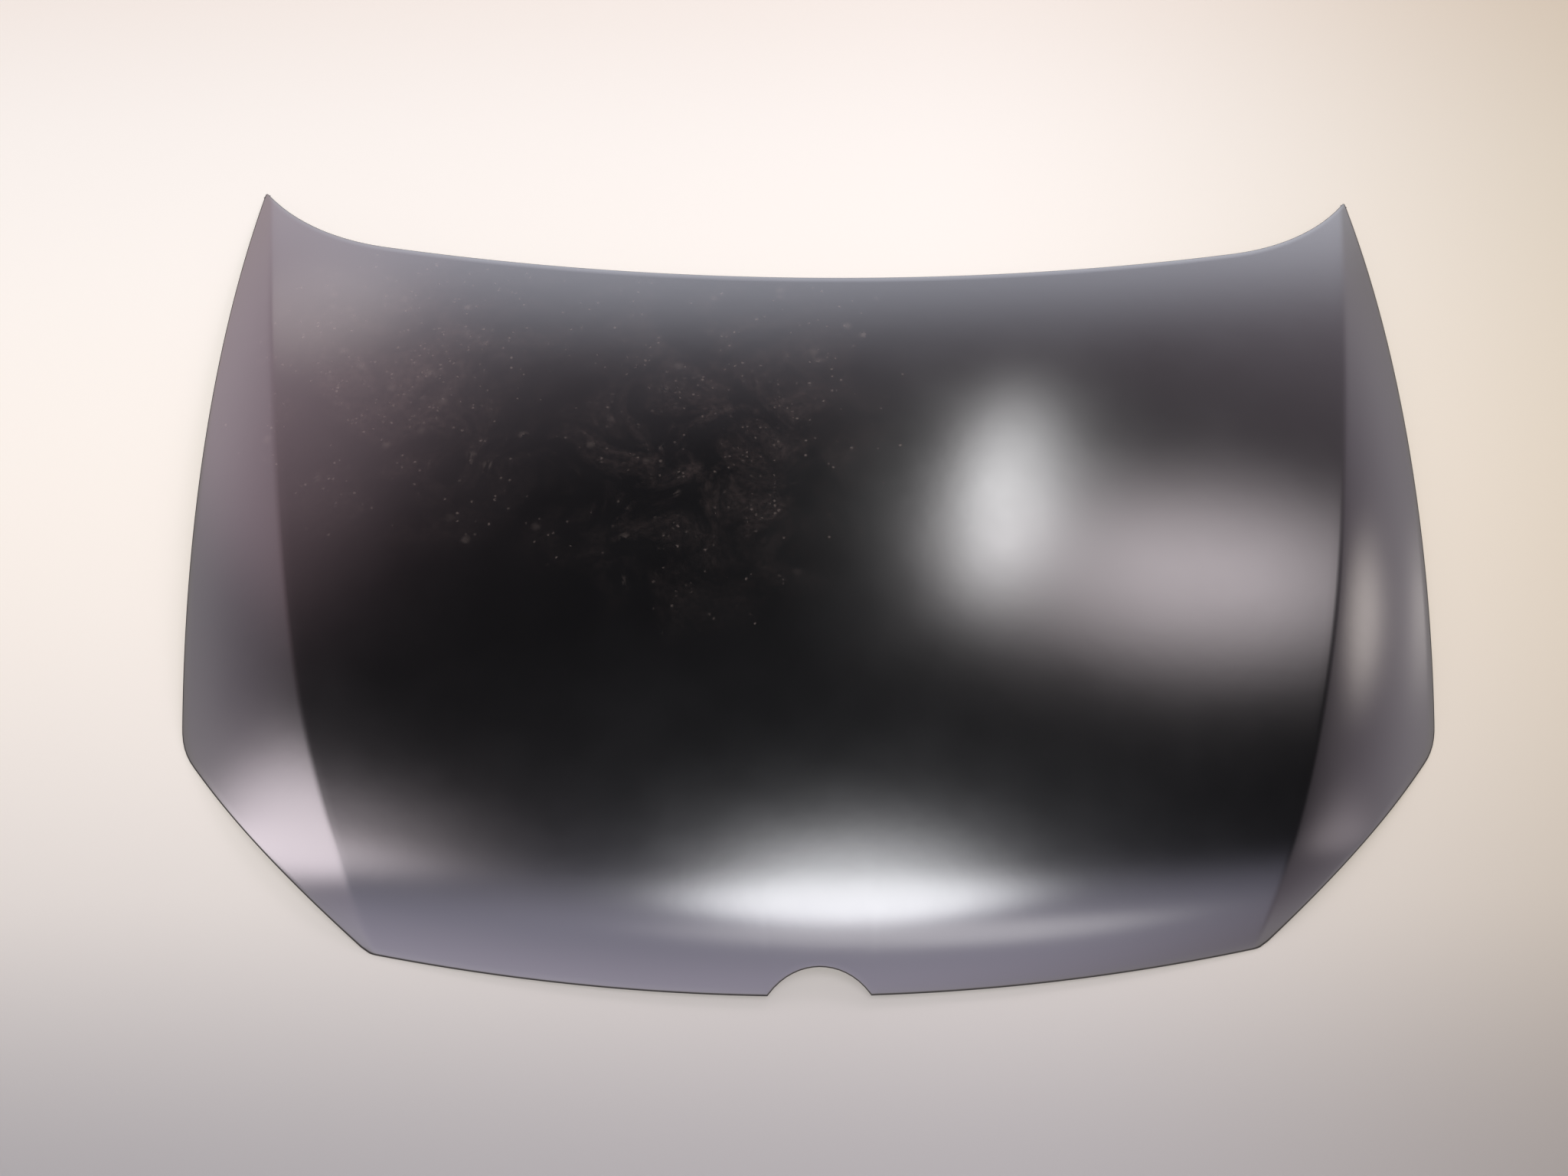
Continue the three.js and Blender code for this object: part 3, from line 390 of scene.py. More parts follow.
def pressed_skin():
    """Outer skin: a grid laid on the crown, with its edge folded under."""
    bpy.ops.object.select_all(action="DESELECT")
    places = skin_places()
    columns, rows = places.shape[:2]
    bpy.ops.mesh.primitive_grid_add(x_subdivisions=columns - 1, y_subdivisions=rows - 1,
                                    size=2)
    skin = bpy.context.object
    skin.name = skin.data.name = "bonnet_skin"
    flat = np.empty(len(skin.data.vertices) * 3)
    skin.data.vertices.foreach_get("co", flat)
    flat = flat.reshape(-1, 3)
    column = np.rint((flat[:, 0] + 1) / 2 * (columns - 1)).astype(int)
    row = np.rint((flat[:, 1] + 1) / 2 * (rows - 1)).astype(int)
    x, y = places[column, row].T
    laid = np.stack([x, y + SHIFT_Y, crown(x, y) + SHIFT_Z], axis=1)
    skin.data.vertices.foreach_set("co", laid.ravel())
    skin.data.update()
    bpy.ops.object.mode_set(mode="EDIT")
    folded_edge(skin.data)
    bpy.ops.object.mode_set(mode="OBJECT")
    finished_sheet(skin, WELD_GAP, SKIN_SMOOTH_ANGLE)
    return skin


# Inner panel: a ribbed pressing that rises to the skin round its openings

FLANGE_DROP = 1.1 * MM
FLANGE_INSET = 1.4 * MM
CHANNEL_FOOT = 35 * MM
WALL_RUN = 18 * MM
RIB_DROP = 24 * MM
ISLAND_DROP = 4.2 * MM
ISLAND_ROUND = 26 * MM
LIP_WIDTH = 22 * MM
OPENING_ROUND = 12 * MM
SEAT_RUN = 7 * MM
PLATE_SHIFT_Z = -0.0423 * MM
SLOPE_STEP = 1 * MM

# Corners of the islands round the openings, counter-clockwise; all but the first are paired
MIDDLE_ISLAND = np.array([(-91, 62), (91, 62), (126, 246), (-126, 246)]) * MM
PAIRED_ISLANDS = [np.array(corners) * MM for corners in (
    [(161, 62), (364, 62), (390, 246), (196, 246)],
    [(434, 62), (572, 62), (545, 246), (460, 246)],
    [(60, -332), (205, -332), (249, -8), (60, -8)],
    [(275, -332), (394, -332), (488, -244), (508, -8), (319, -8)],
)]

# Seats: middle, size, drop below the crown, corner radius, sides it is on, bolts' places
SEATS = [
    ((604.712, 331.193), (52, 128), 28, 10, (1, -1), [(0, -38), (0, 38)]),
    ((0, -448), (150, 56), 30, 10, (1,), [(-42, 0), (42, 0)]),
    ((318, -418.521), (62, 42), 28, 10, (1,), []),
    ((440, -384.336), (42, 42), 29, 20.5, (1, -1), []),
]
PROP_SLOT_PLACE = np.array([318, -418.521]) * MM
PROP_SLOT_SIZE = np.array([26, 11]) * MM
PROP_SLOT_ROUND = 5.4 * MM
BOLT_HOLE = 10.5 * MM
CLIP_HOLE = 8 * MM
CLIP_PLACES = np.array([(0, 27), (304, 27), (-304, 27), (176, -362), (-176, -362)]) * MM

# Spacing of the panel's points
LOOP_STEP = 6 * MM
RIB_STEP = 17 * MM
RIB_REACH = (0.72, 0.56)
WALL_STEPS = 6
SEAT_WALL_POINTS = 4
ARC_POINTS = 7
HOLE_POINTS = 16
SEAT_CLEARANCE = 3 * MM
HOLE_CLEARANCE = 5 * MM
SAME_POINT = 0.001 * MM
PANEL_SMOOTH_ANGLE = math.radians(45)


def mirrored(loop):
    return (loop * np.array([-1, 1]))[::-1]


def rounded_loop(corners, radius, grow=0.0):
    """Closed loop round a counter-clockwise polygon, moved outward by a distance."""
    after = np.roll(corners, -1, axis=0)
    way = (after - corners) / np.hypot(*(after - corners).T)[:, None]
    out = np.stack([way[:, 1], -way[:, 0]], axis=1)
    arcs = []
    for k, corner in enumerate(corners):
        before_way, before_out = way[k - 1], out[k - 1]
        turn = math.atan2(before_way[0] * way[k][1] - before_way[1] * way[k][0],
                          before_way @ way[k])
        centre = corner - radius * (before_out + math.tan(turn / 2) * before_way)
        start = math.atan2(before_out[1], before_out[0])
        angles = start + np.linspace(0, turn, ARC_POINTS)
        arcs.append(centre + (radius + grow) * np.stack([np.cos(angles), np.sin(angles)],
                                                        axis=1))
    loop = []
    for arc, next_arc in zip(arcs, arcs[1:] + arcs[:1]):
        gap = next_arc[0] - arc[-1]
        pieces = max(1, int(round(np.hypot(*gap) / LOOP_STEP)))
        loop.extend(arc)
        loop.extend(arc[-1] + gap * n / pieces for n in range(1, pieces))
    return np.array(loop)


def box_corners(middle, size):
    halves = np.array([(-1, -1), (1, -1), (1, 1), (-1, 1)]) / 2
    return middle + halves * size


def round_hole(middle, diameter):
    turn = np.linspace(0, 2 * math.pi, HOLE_POINTS, endpoint=False)
    return middle + diameter / 2 * np.stack([np.cos(turn), np.sin(turn)], axis=1)


def inset_loop(inset):
    """Closed loop a distance inside the outline, with points about one step apart."""
    half = inset_outline(inset)
    reach = reached(half)
    even = np.linspace(0, reach[-1], int(reach[-1] / LOOP_STEP) + 2)
    half = np.stack([np.interp(even, reach, half[:, 0]), np.interp(even, reach, half[:, 1])],
                    axis=1)
    half[0, 0] = half[-1, 0] = 0
    return np.concatenate([half, mirrored(half)[1:-1]])


def gap_to_loop(loop, places):
    """Distance from places to a closed loop, negative inside it."""
    nearest = np.full(len(places), np.inf)
    crossings = np.zeros(len(places), dtype=int)
    for a, b in zip(loop, np.roll(loop, -1, axis=0)):
        way = b - a
        share = np.clip(((places - a) @ way) / (way @ way), 0, 1)
        off = places - a - way * share[:, None]
        nearest = np.minimum(nearest, (off ** 2).sum(axis=1))
        spans = (places[:, 1] < a[1]) != (places[:, 1] < b[1])
        rise = np.where(spans, b[1] - a[1], 1)
        crossings += spans & (places[:, 0] < a[0] + way[0] * (places[:, 1] - a[1]) / rise)
    return np.sqrt(nearest) * np.where(crossings % 2 == 1, -1, 1)


def eased(share):
    t = np.clip(share, 0, 1)
    return t * t * (3 - 2 * t)


def seat_plane(middle, drop, x, y):
    """Height of a flat seat that lies along the crown at its middle."""
    px, py = middle
    slope_x = (crown(px + SLOPE_STEP, py) - crown(px - SLOPE_STEP, py)) / (2 * SLOPE_STEP)
    slope_y = (crown(px, py + SLOPE_STEP) - crown(px, py - SLOPE_STEP)) / (2 * SLOPE_STEP)
    return crown(px, py) - drop + slope_x * (x - px) + slope_y * (y - py)


def placed_seats():
    """Middle, corners, drop, corner radius and bolts' places of each seat, in metres."""
    seats = []
    for middle, size, drop, radius, sides, bolts in SEATS:
        for side in sides:
            at = np.array(middle) * MM * [side, 1]
            seats.append((at, box_corners(at, np.array(size) * MM), drop * MM, radius * MM,
                          [at + np.array(bolt) * MM for bolt in bolts]))
    return seats


ISLANDS = [MIDDLE_ISLAND] + PAIRED_ISLANDS + [mirrored(loop) for loop in PAIRED_ISLANDS]
PLACED_SEATS = placed_seats()


def panel_height(places):
    """Height of the panel's upper face: flange, channel, ribs, islands and seats."""
    x, y = places.T
    top = crown(x, y)
    rib_drop = np.minimum(RIB_DROP, top / 2)
    edge = -gap_to_loop(np.concatenate([OUTLINE, mirrored(OUTLINE)[1:-1]]), places)
    share = eased((edge - (CHANNEL_FOOT - WALL_RUN)) / WALL_RUN)
    drop = FLANGE_DROP + (rib_drop - FLANGE_DROP) * share
    for corners in ISLANDS:
        gap = gap_to_loop(rounded_loop(corners, ISLAND_ROUND), places)
        raised = ISLAND_DROP + (rib_drop - ISLAND_DROP) * eased(gap / WALL_RUN)
        drop = np.minimum(drop, raised)
    height = top - drop + SHIFT_Z
    for middle, corners, seat_drop, radius, _ in PLACED_SEATS:
        share = eased(gap_to_loop(rounded_loop(corners, radius), places) / SEAT_RUN)
        plane = seat_plane(middle, seat_drop, x, y) + PLATE_SHIFT_Z
        height = plane + (height - plane) * share
    return height


def panel_holes():
    holes = [rounded_loop(corners, OPENING_ROUND + LIP_WIDTH, -LIP_WIDTH)
             for corners in ISLANDS]
    for _, _, _, _, bolts in PLACED_SEATS:
        holes += [round_hole(bolt, BOLT_HOLE) for bolt in bolts]
    holes.append(rounded_loop(box_corners(PROP_SLOT_PLACE, PROP_SLOT_SIZE), PROP_SLOT_ROUND))
    return holes + [round_hole(place, CLIP_HOLE) for place in CLIP_PLACES]


def bend_loops():
    """Loops along the channel's wall, the islands' walls and the seats' walls."""
    wall = np.linspace(0, WALL_RUN, WALL_STEPS + 1)
    loops = [inset_loop(CHANNEL_FOOT - run) for run in wall]
    loops.append(inset_loop((FLANGE_INSET + CHANNEL_FOOT - WALL_RUN) / 2))
    for corners in ISLANDS:
        loops += [rounded_loop(corners, ISLAND_ROUND, run) for run in (-LIP_WIDTH / 2, *wall)]
    for _, corners, _, radius, _ in PLACED_SEATS:
        loops += [rounded_loop(corners, radius, run)
                  for run in np.linspace(0, SEAT_RUN, SEAT_WALL_POINTS)]
    return loops


def rib_points(rim, holes):
    """Points spread over the ribs, clear of every wall and hole."""
    reach_x, reach_y = RIB_REACH
    spread = np.stack(np.meshgrid(np.arange(-reach_x, reach_x, RIB_STEP),
                                  np.arange(-reach_y, reach_y, RIB_STEP)), axis=-1)
    spread = spread.reshape(-1, 2)
    spread[::2, 1] += RIB_STEP / 2
    clear = gap_to_loop(rim, spread) < -CHANNEL_FOOT
    for corners in ISLANDS:
        clear &= gap_to_loop(corners, spread) > WALL_RUN
    for _, corners, _, _, _ in PLACED_SEATS:
        clear &= gap_to_loop(corners, spread) > SEAT_RUN + SEAT_CLEARANCE
    for hole in holes:
        clear &= gap_to_loop(hole, spread) > HOLE_CLEARANCE
    return spread[clear]


def pressed_panel():
    """Inner panel laid out by loops along its bends, filled with triangles and pressed."""
    bpy.ops.object.select_all(action="DESELECT")
    holes = panel_holes()
    rim = inset_loop(FLANGE_INSET)
    places = [rib_points(rim, holes)]
    edges = []
    count = len(places[0])
    for loop in [rim] + holes + bend_loops():
        turn = count + np.arange(len(loop))
        edges += [(int(a), int(b)) for a, b in zip(turn, np.roll(turn, -1))]
        places.append(loop)
        count += len(loop)
    flat = [Vector(place) for place in np.concatenate(places)]
    filled = delaunay_2d_cdt(flat, edges, [], 0, SAME_POINT)
    spots = np.array([(place.x, place.y) for place in filled[0]])
    faces = np.array([face for face in filled[2] if len(face) == 3])
    middles = spots[faces].mean(axis=1)
    kept = gap_to_loop(rim, middles) < 0
    for hole in holes:
        kept &= gap_to_loop(hole, middles) > 0
    laid = np.column_stack([spots[:, 0], spots[:, 1] + SHIFT_Y, panel_height(spots)])
    mesh = bpy.data.meshes.new("inner_pressing")
    mesh.from_pydata(laid.tolist(), [], faces[kept].tolist())
    panel = bpy.data.objects.new("inner_pressing", mesh)
    bpy.context.scene.collection.objects.link(panel)
    panel.select_set(True)
    bpy.context.view_layer.objects.active = panel
    finished_sheet(panel, SAME_POINT, PANEL_SMOOTH_ANGLE)
    return panel


# Shader helpers

def node(tree, kind, place=(0, 0), inputs=None, **values):
    """A shader node with its place, its sockets' values and its settings."""
    made = tree.nodes.new(kind)
    made.location = place
    for key, value in values.items():
        setattr(made, key, value)
    for key, value in (inputs or {}).items():
        made.inputs[key].default_value = value
    return made


def math_node(tree, operation, place, first, second, **values):
    """A Math node on two sockets, or on a socket and a number."""
    made = node(tree, "ShaderNodeMath", place, operation=operation, **values)
    tree.links.new(first, made.inputs[0])
    if isinstance(second, float):
        made.inputs[1].default_value = second
    else:
        tree.links.new(second, made.inputs[1])
    return made.outputs[0]


def effect_group(name, inputs, outputs):
    """A node group with number sockets; inputs have their default values."""
    group = bpy.data.node_groups.new(name, "ShaderNodeTree")
    kind = "NodeSocketFloat"
    for label, default in inputs.items():
        socket = group.interface.new_socket(label, in_out="INPUT", socket_type=kind)
        socket.default_value = default
    for label in outputs:
        group.interface.new_socket(label, in_out="OUTPUT", socket_type=kind)
    given = node(group, "NodeGroupInput", (-900, 0))
    result = node(group, "NodeGroupOutput", (700, 0))
    return group, given, result


# Finishes

SPECK_SCALE = 190.0
SPECK_RIM = 0.5
SPOT_SCALE = 50.0
SPOT_RIM = 0.42
SPOT_STRENGTH = 0.62
DOT_RAGGEDNESS = 0.004
DUST_COLOUR = (0.18, 0.145, 0.13, 1)
DUST_FILM_COLOUR = (0.085, 0.061, 0.056, 1)
COAT_IOR = 2.26
COAT_WAVE_DEPTH = 0.5 * MM
MASTIC_WAVE_DEPTH = 1 * MM


def dipped_coat_group():
    """Dipped coat: a faint waviness, and gloss that changes softly over the sheet."""
    group, given, result = effect_group(
        "dipped_coat",
        {"Wave Scale": 60.0, "Gloss Scale": 7.0, "Rough Low": 0.2, "Rough High": 0.3},
        ["Height", "Roughness"])
    link = group.links.new
    place = node(group, "ShaderNodeTexCoord", (-900, -300)).outputs["Object"]
    wave = node(group, "ShaderNodeTexNoise", (-600, 150), {"Detail": 3.0, "Roughness": 0.55})
    link(place, wave.inputs["Vector"])
    link(given.outputs["Wave Scale"], wave.inputs["Scale"])
    link(wave.outputs["Fac"], result.inputs["Height"])
    gloss = node(group, "ShaderNodeTexNoise", (-600, -150), {"Detail": 5.0, "Roughness": 0.6})
    link(place, gloss.inputs["Vector"])
    link(given.outputs["Gloss Scale"], gloss.inputs["Scale"])
    spread = node(group, "ShaderNodeMapRange", (-200, -150), {"From Min": 0.3, "From Max": 0.7})
    link(gloss.outputs["Fac"], spread.inputs["Value"])
    link(given.outputs["Rough Low"], spread.inputs["To Min"])
    link(given.outputs["Rough High"], spread.inputs["To Max"])
    link(spread.outputs["Result"], result.inputs["Roughness"])
    return group


def scattered_dots(group, place, scale, rim, share):
    """Ragged dots in some cells of a cell pattern. The share socket says how many are kept."""
    link = group.links.new
    ragged = node(group, "ShaderNodeTexNoise", (-1100, 400), {"Scale": 260.0, "Detail": 3.0})
    link(place, ragged.inputs["Vector"])
    stray = node(group, "ShaderNodeVectorMath", (-950, 400), {1: (DOT_RAGGEDNESS,) * 3},
                 operation="MULTIPLY")
    link(ragged.outputs["Color"], stray.inputs[0])
    shaken = node(group, "ShaderNodeVectorMath", (-800, 300), operation="ADD")
    link(place, shaken.inputs[0])
    link(stray.outputs[0], shaken.inputs[1])
    cells = node(group, "ShaderNodeTexVoronoi", (-650, 200), {"Scale": scale}, feature="F1")
    link(shaken.outputs[0], cells.inputs["Vector"])
    dot = node(group, "ShaderNodeMapRange", (-400, 250), {"From Min": rim, "From Max": 0.0},
               interpolation_type="SMOOTHSTEP")
    link(cells.outputs["Distance"], dot.inputs["Value"])
    chosen = node(group, "ShaderNodeSeparateColor", (-400, 50))
    link(cells.outputs["Color"], chosen.inputs["Color"])
    kept = math_node(group, "LESS_THAN", (120, 60), chosen.outputs["Red"], share)
    strong = math_node(group, "MULTIPLY", (120, 220), dot.outputs["Result"],
                       chosen.outputs["Green"])
    return math_node(group, "MULTIPLY", (300, 200), strong, kept)


def settled_dust_group():
    """Dust: fine specks and soft spots where it has gathered, and a thin film between them."""
    group, given, result = effect_group("settled_dust", {"Amount": 0.5, "Gathered": 1.0},
                                        ["Specks", "Film"])
    link = group.links.new
    place = node(group, "ShaderNodeTexCoord", (-1100, -300)).outputs["Object"]
    clump = node(group, "ShaderNodeTexNoise", (-900, -100),
                 {"Scale": 13.0, "Detail": 7.0, "Roughness": 0.68, "Distortion": 0.8})
    link(place, clump.inputs["Vector"])
    thick = node(group, "ShaderNodeMapRange", (-700, -120),
                 {"From Min": 0.44, "From Max": 0.68})
    link(clump.outputs["Fac"], thick.inputs["Value"])
    gathered = math_node(group, "MULTIPLY", (-500, -120), thick.outputs["Result"],
                         given.outputs["Gathered"])
    share = math_node(group, "MULTIPLY", (-300, -120), gathered, given.outputs["Amount"])
    specks = scattered_dots(group, place, SPECK_SCALE, SPECK_RIM, share)
    spots = scattered_dots(group, place, SPOT_SCALE, SPOT_RIM, share)
    soft = math_node(group, "MULTIPLY", (420, 0), spots, SPOT_STRENGTH)
    link(math_node(group, "MAXIMUM", (560, 100), specks, soft), result.inputs["Specks"])
    grains = node(group, "ShaderNodeTexNoise", (-300, -400), {"Scale": 170.0, "Detail": 4.0})
    link(place, grains.inputs["Vector"])
    mottled = node(group, "ShaderNodeMapRange", (-100, -400),
                   {"From Min": 0.36, "From Max": 0.66, "To Min": 0.25})
    link(grains.outputs["Fac"], mottled.inputs["Value"])
    film = math_node(group, "MULTIPLY", (120, -300), gathered, mottled.outputs["Result"])
    link(film, result.inputs["Film"])
    return group


DIPPED_COAT = dipped_coat_group()
SETTLED_DUST = settled_dust_group()


def material(name):
    made = bpy.data.materials.new(name)
    made.use_nodes = True
    return made, made.node_tree, made.node_tree.nodes["Principled BSDF"]


def gathering_places(tree, patches):
    """Mask of the oval places where dust has gathered, each x, y, half width, half length."""
    link = tree.links.new
    place = node(tree, "ShaderNodeTexCoord", (-1700, -300)).outputs["Object"]
    total = None
    for k, (x, y, half_width, half_length) in enumerate(patches):
        level = -200 - 250 * k
        oval = node(tree, "ShaderNodeMapping", (-1500, level),
                    {"Location": (x, y, 0), "Scale": (half_width, half_length, 100)},
                    vector_type="TEXTURE")
        link(place, oval.inputs["Vector"])
        ball = node(tree, "ShaderNodeTexGradient", (-1250, level), gradient_type="SPHERICAL")
        link(oval.outputs["Vector"], ball.inputs["Vector"])
        mask = ball.outputs["Fac"]
        if total is None:
            total = mask
        else:
            total = math_node(tree, "MAXIMUM", (-1000, level), total, mask)
    return total


def raised_normal(tree, shader, height, depth, strength=1.0):
    raised = node(tree, "ShaderNodeBump", (-250, -250),
                  {"Strength": strength, "Distance": depth})
    tree.links.new(height, raised.inputs["Height"])
    tree.links.new(raised.outputs["Normal"], shader.inputs["Normal"])


def coat_material(name, colour, low, high, wave, dust, bump, patches=()):
    """Black dipped coat with dust, over all of it or only at the patches."""
    made, tree, shader = material(name)
    link = tree.links.new
    coat = node(tree, "ShaderNodeGroup", (-700, 100), node_tree=DIPPED_COAT)
    coat.inputs["Wave Scale"].default_value = wave
    coat.inputs["Rough Low"].default_value = low
    coat.inputs["Rough High"].default_value = high
    settled = node(tree, "ShaderNodeGroup", (-700, -200), node_tree=SETTLED_DUST)
    settled.inputs["Amount"].default_value = dust
    if patches:
        link(gathering_places(tree, patches), settled.inputs["Gathered"])
    film = node(tree, "ShaderNodeMix", (-550, 250), data_type="RGBA")
    film.inputs["A"].default_value = (*colour, 1)
    film.inputs["B"].default_value = DUST_FILM_COLOUR
    tint = node(tree, "ShaderNodeMix", (-350, 250), data_type="RGBA")
    tint.inputs["B"].default_value = DUST_COLOUR
    link(settled.outputs["Film"], film.inputs["Factor"])
    link(film.outputs["Result"], tint.inputs["A"])
    link(settled.outputs["Specks"], tint.inputs["Factor"])
    link(tint.outputs["Result"], shader.inputs["Base Color"])
    link(coat.outputs["Roughness"], shader.inputs["Roughness"])
    shader.inputs["IOR"].default_value = COAT_IOR
    shader.inputs["Metallic"].default_value = 0.0
    raised_normal(tree, shader, coat.outputs["Height"], COAT_WAVE_DEPTH, bump)
    return made


def mottled_material(name, dark, pale, low, high, wave, gloss, metallic):
    """A finish that varies between two colours, and between two roughnesses."""
    made, tree, shader = material(name)
    link = tree.links.new
    coat = node(tree, "ShaderNodeGroup", (-600, 100), node_tree=DIPPED_COAT)
    coat.inputs["Wave Scale"].default_value = wave
    coat.inputs["Gloss Scale"].default_value = gloss
    coat.inputs["Rough Low"].default_value = low
    coat.inputs["Rough High"].default_value = high
    tint = node(tree, "ShaderNodeMix", (-250, 250), data_type="RGBA")
    tint.inputs["A"].default_value = (*dark, 1)
    tint.inputs["B"].default_value = (*pale, 1)
    link(coat.outputs["Height"], tint.inputs["Factor"])
    link(tint.outputs["Result"], shader.inputs["Base Color"])
    link(coat.outputs["Roughness"], shader.inputs["Roughness"])
    shader.inputs["Metallic"].default_value = metallic
    return made, tree, shader, coat


def steel_material():
    return mottled_material("dull_plated_steel", (0.22, 0.22, 0.23), (0.3, 0.3, 0.3),
                            0.32, 0.5, 400, 90, 0.9)[0]


def mastic_material():
    made, tree, shader, coat = mottled_material(
        "mastic_paste", (0.045, 0.04, 0.034), (0.1, 0.09, 0.078), 0.75, 0.95, 180, 60, 0.0)
    raised_normal(tree, shader, coat.outputs["Height"], MASTIC_WAVE_DEPTH)
    return made


SKIN_COAT = coat_material("skin_black_coat", (0.004, 0.004, 0.0045), 0.18, 0.21, 45, 0.85, 0.06,
                          patches=[(-0.14, 0.14, 0.27, 0.32), (-0.46, 0.22, 0.26, 0.28)])
PANEL_COAT = coat_material("panel_black_coat", (0.014, 0.014, 0.016), 0.34, 0.44, 70, 0.15, 0.1)
PLATE_COAT = coat_material("plate_black_coat", (0.018, 0.018, 0.02), 0.36, 0.5, 90, 0.1, 0.15)
NUT_STEEL = steel_material()
MASTIC = mastic_material()


# Pieces

def put_in_place(piece, replaced, coat):
    piece.data.materials.clear()
    piece.data.materials.append(coat)
    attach(piece, "root")
    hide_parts(replaced)


def kept_finish(name):
    if "nut" in name:
        return NUT_STEEL
    if "mastic" in name:
        return MASTIC
    return PLATE_COAT


put_in_place(pressed_skin(), "outer_skin", SKIN_COAT)
put_in_place(pressed_panel(), "inner_panel", PANEL_COAT)

for node_name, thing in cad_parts.items():
    if node_name not in ("outer_skin", "inner_panel"):
        for held in thing.material_slots:
            held.material = kept_finish(node_name)


# Floor: matt, with a glow that only the camera sees. Painted shade makes a dark band in the glow
# before the nose, and makes the glow and the paint darker to the left

FLOOR_SIZE = 16
FLOOR_PAINT = (0.463, 0.426, 0.435, 1)
# Darker paint of the floor to the left: painted shade
FLOOR_LEFT_SHADED_PAINT = (0.392, 0.345, 0.327, 1)
FLOOR_GLOW_START = -2.0
FLOOR_GLOW_END = 1.0
# Stops of the floor's glow along Y; the darkest stops make a band of painted shade before the
# nose
FLOOR_GLOW_PLACES = (0.0, 0.20, 0.333, 0.413, 0.527, 0.70, 0.88, 1.0)
FLOOR_GLOW = ((0.74, 0.68, 0.64), (0.66, 0.62, 0.59), (0.32, 0.30, 0.29),
              (0.04, 0.05, 0.07), (0.54, 0.50, 0.46), (0.77, 0.70, 0.62),
              (0.74, 0.71, 0.68), (0.64, 0.55, 0.48))
# Tint that darkens and warms the floor's glow to the left: painted shade
FLOOR_LEFT_SHADE_TINT = (0.60, 0.55, 0.42, 1)
LEFT_SHADE_STARTS = {"From Min": 0.1, "From Max": 1.3}
LEFT_SHADE_ENDS = {"From Min": 1.6, "From Max": 3.0}


def coloured_ramp(tree, at, places, colours):
    ramp = node(tree, "ShaderNodeValToRGB", at)
    stops = ramp.color_ramp.elements
    while len(stops) < len(places):
        stops.new(0.5)
    for stop, place, colour in zip(stops, places, colours):
        stop.position = place
        stop.color = (*colour, 1)
    return ramp


def floor_material():
    made = bpy.data.materials.new("pale_floor")
    made.use_nodes = True
    tree = made.node_tree
    tree.nodes.clear()
    link = tree.links.new
    place = node(tree, "ShaderNodeTexCoord", (-1000, -200))
    parts = node(tree, "ShaderNodeSeparateXYZ", (-800, -200))
    link(place.outputs["Object"], parts.inputs[0])
    along = node(tree, "ShaderNodeMapRange", (-600, -200),
                 {"From Min": FLOOR_GLOW_START, "From Max": FLOOR_GLOW_END})
    link(parts.outputs["Y"], along.inputs["Value"])
    # Glow along the floor, with a dark band of painted shade before the nose
    glow_and_shade = coloured_ramp(tree, (-400, -250), FLOOR_GLOW_PLACES, FLOOR_GLOW)
    glow_and_shade.color_ramp.interpolation = "B_SPLINE"
    link(along.outputs["Result"], glow_and_shade.inputs["Fac"])
    starts = node(tree, "ShaderNodeMapRange", (-600, -500), LEFT_SHADE_STARTS,
                  interpolation_type="SMOOTHSTEP")
    link(parts.outputs["X"], starts.inputs["Value"])
    ends = node(tree, "ShaderNodeMapRange", (-600, -800), LEFT_SHADE_ENDS,
                interpolation_type="SMOOTHSTEP")
    link(parts.outputs["X"], ends.inputs["Value"])
    # Mask of the band to the left where the floor carries painted shade
    left = math_node(tree, "SUBTRACT", (-400, -600), starts.outputs["Result"],
                     ends.outputs["Result"], use_clamp=True)
    # Floor paint turning darker to the left: painted shade
    paint_and_shade = node(tree, "ShaderNodeMix", (-400, 50), data_type="RGBA")
    paint_and_shade.inputs["A"].default_value = FLOOR_PAINT
    paint_and_shade.inputs["B"].default_value = FLOOR_LEFT_SHADED_PAINT
    link(left, paint_and_shade.inputs["Factor"])
    matt = node(tree, "ShaderNodeBsdfDiffuse", (-200, 0))
    link(paint_and_shade.outputs["Result"], matt.inputs["Color"])
    # Glow turning darker and warmer to the left: painted shade
    shade = node(tree, "ShaderNodeMix", (-50, -350), data_type="RGBA", blend_type="MULTIPLY")
    shade.inputs["B"].default_value = FLOOR_LEFT_SHADE_TINT
    link(glow_and_shade.outputs["Color"], shade.inputs["A"])
    link(left, shade.inputs["Factor"])
    glow = node(tree, "ShaderNodeEmission", (-200, -200))
    link(shade.outputs["Result"], glow.inputs["Color"])
    path = node(tree, "ShaderNodeLightPath", (-400, 200))
    link(path.outputs["Is Camera Ray"], glow.inputs["Strength"])
    both = node(tree, "ShaderNodeAddShader", (50, 0))
    link(matt.outputs[0], both.inputs[0])
    link(glow.outputs[0], both.inputs[1])
    out = node(tree, "ShaderNodeOutputMaterial", (250, 0))
    link(both.outputs[0], out.inputs["Surface"])
    return made


def pale_floor():
    bpy.ops.object.select_all(action="DESELECT")
    bpy.ops.mesh.primitive_plane_add(size=FLOOR_SIZE, location=(0, 0, 0))
    floor = bpy.context.object
    floor.name = "floor"
    floor.data.materials.append(floor_material())


# Light: oval softboxes that light everything, and cards that only the gloss shows

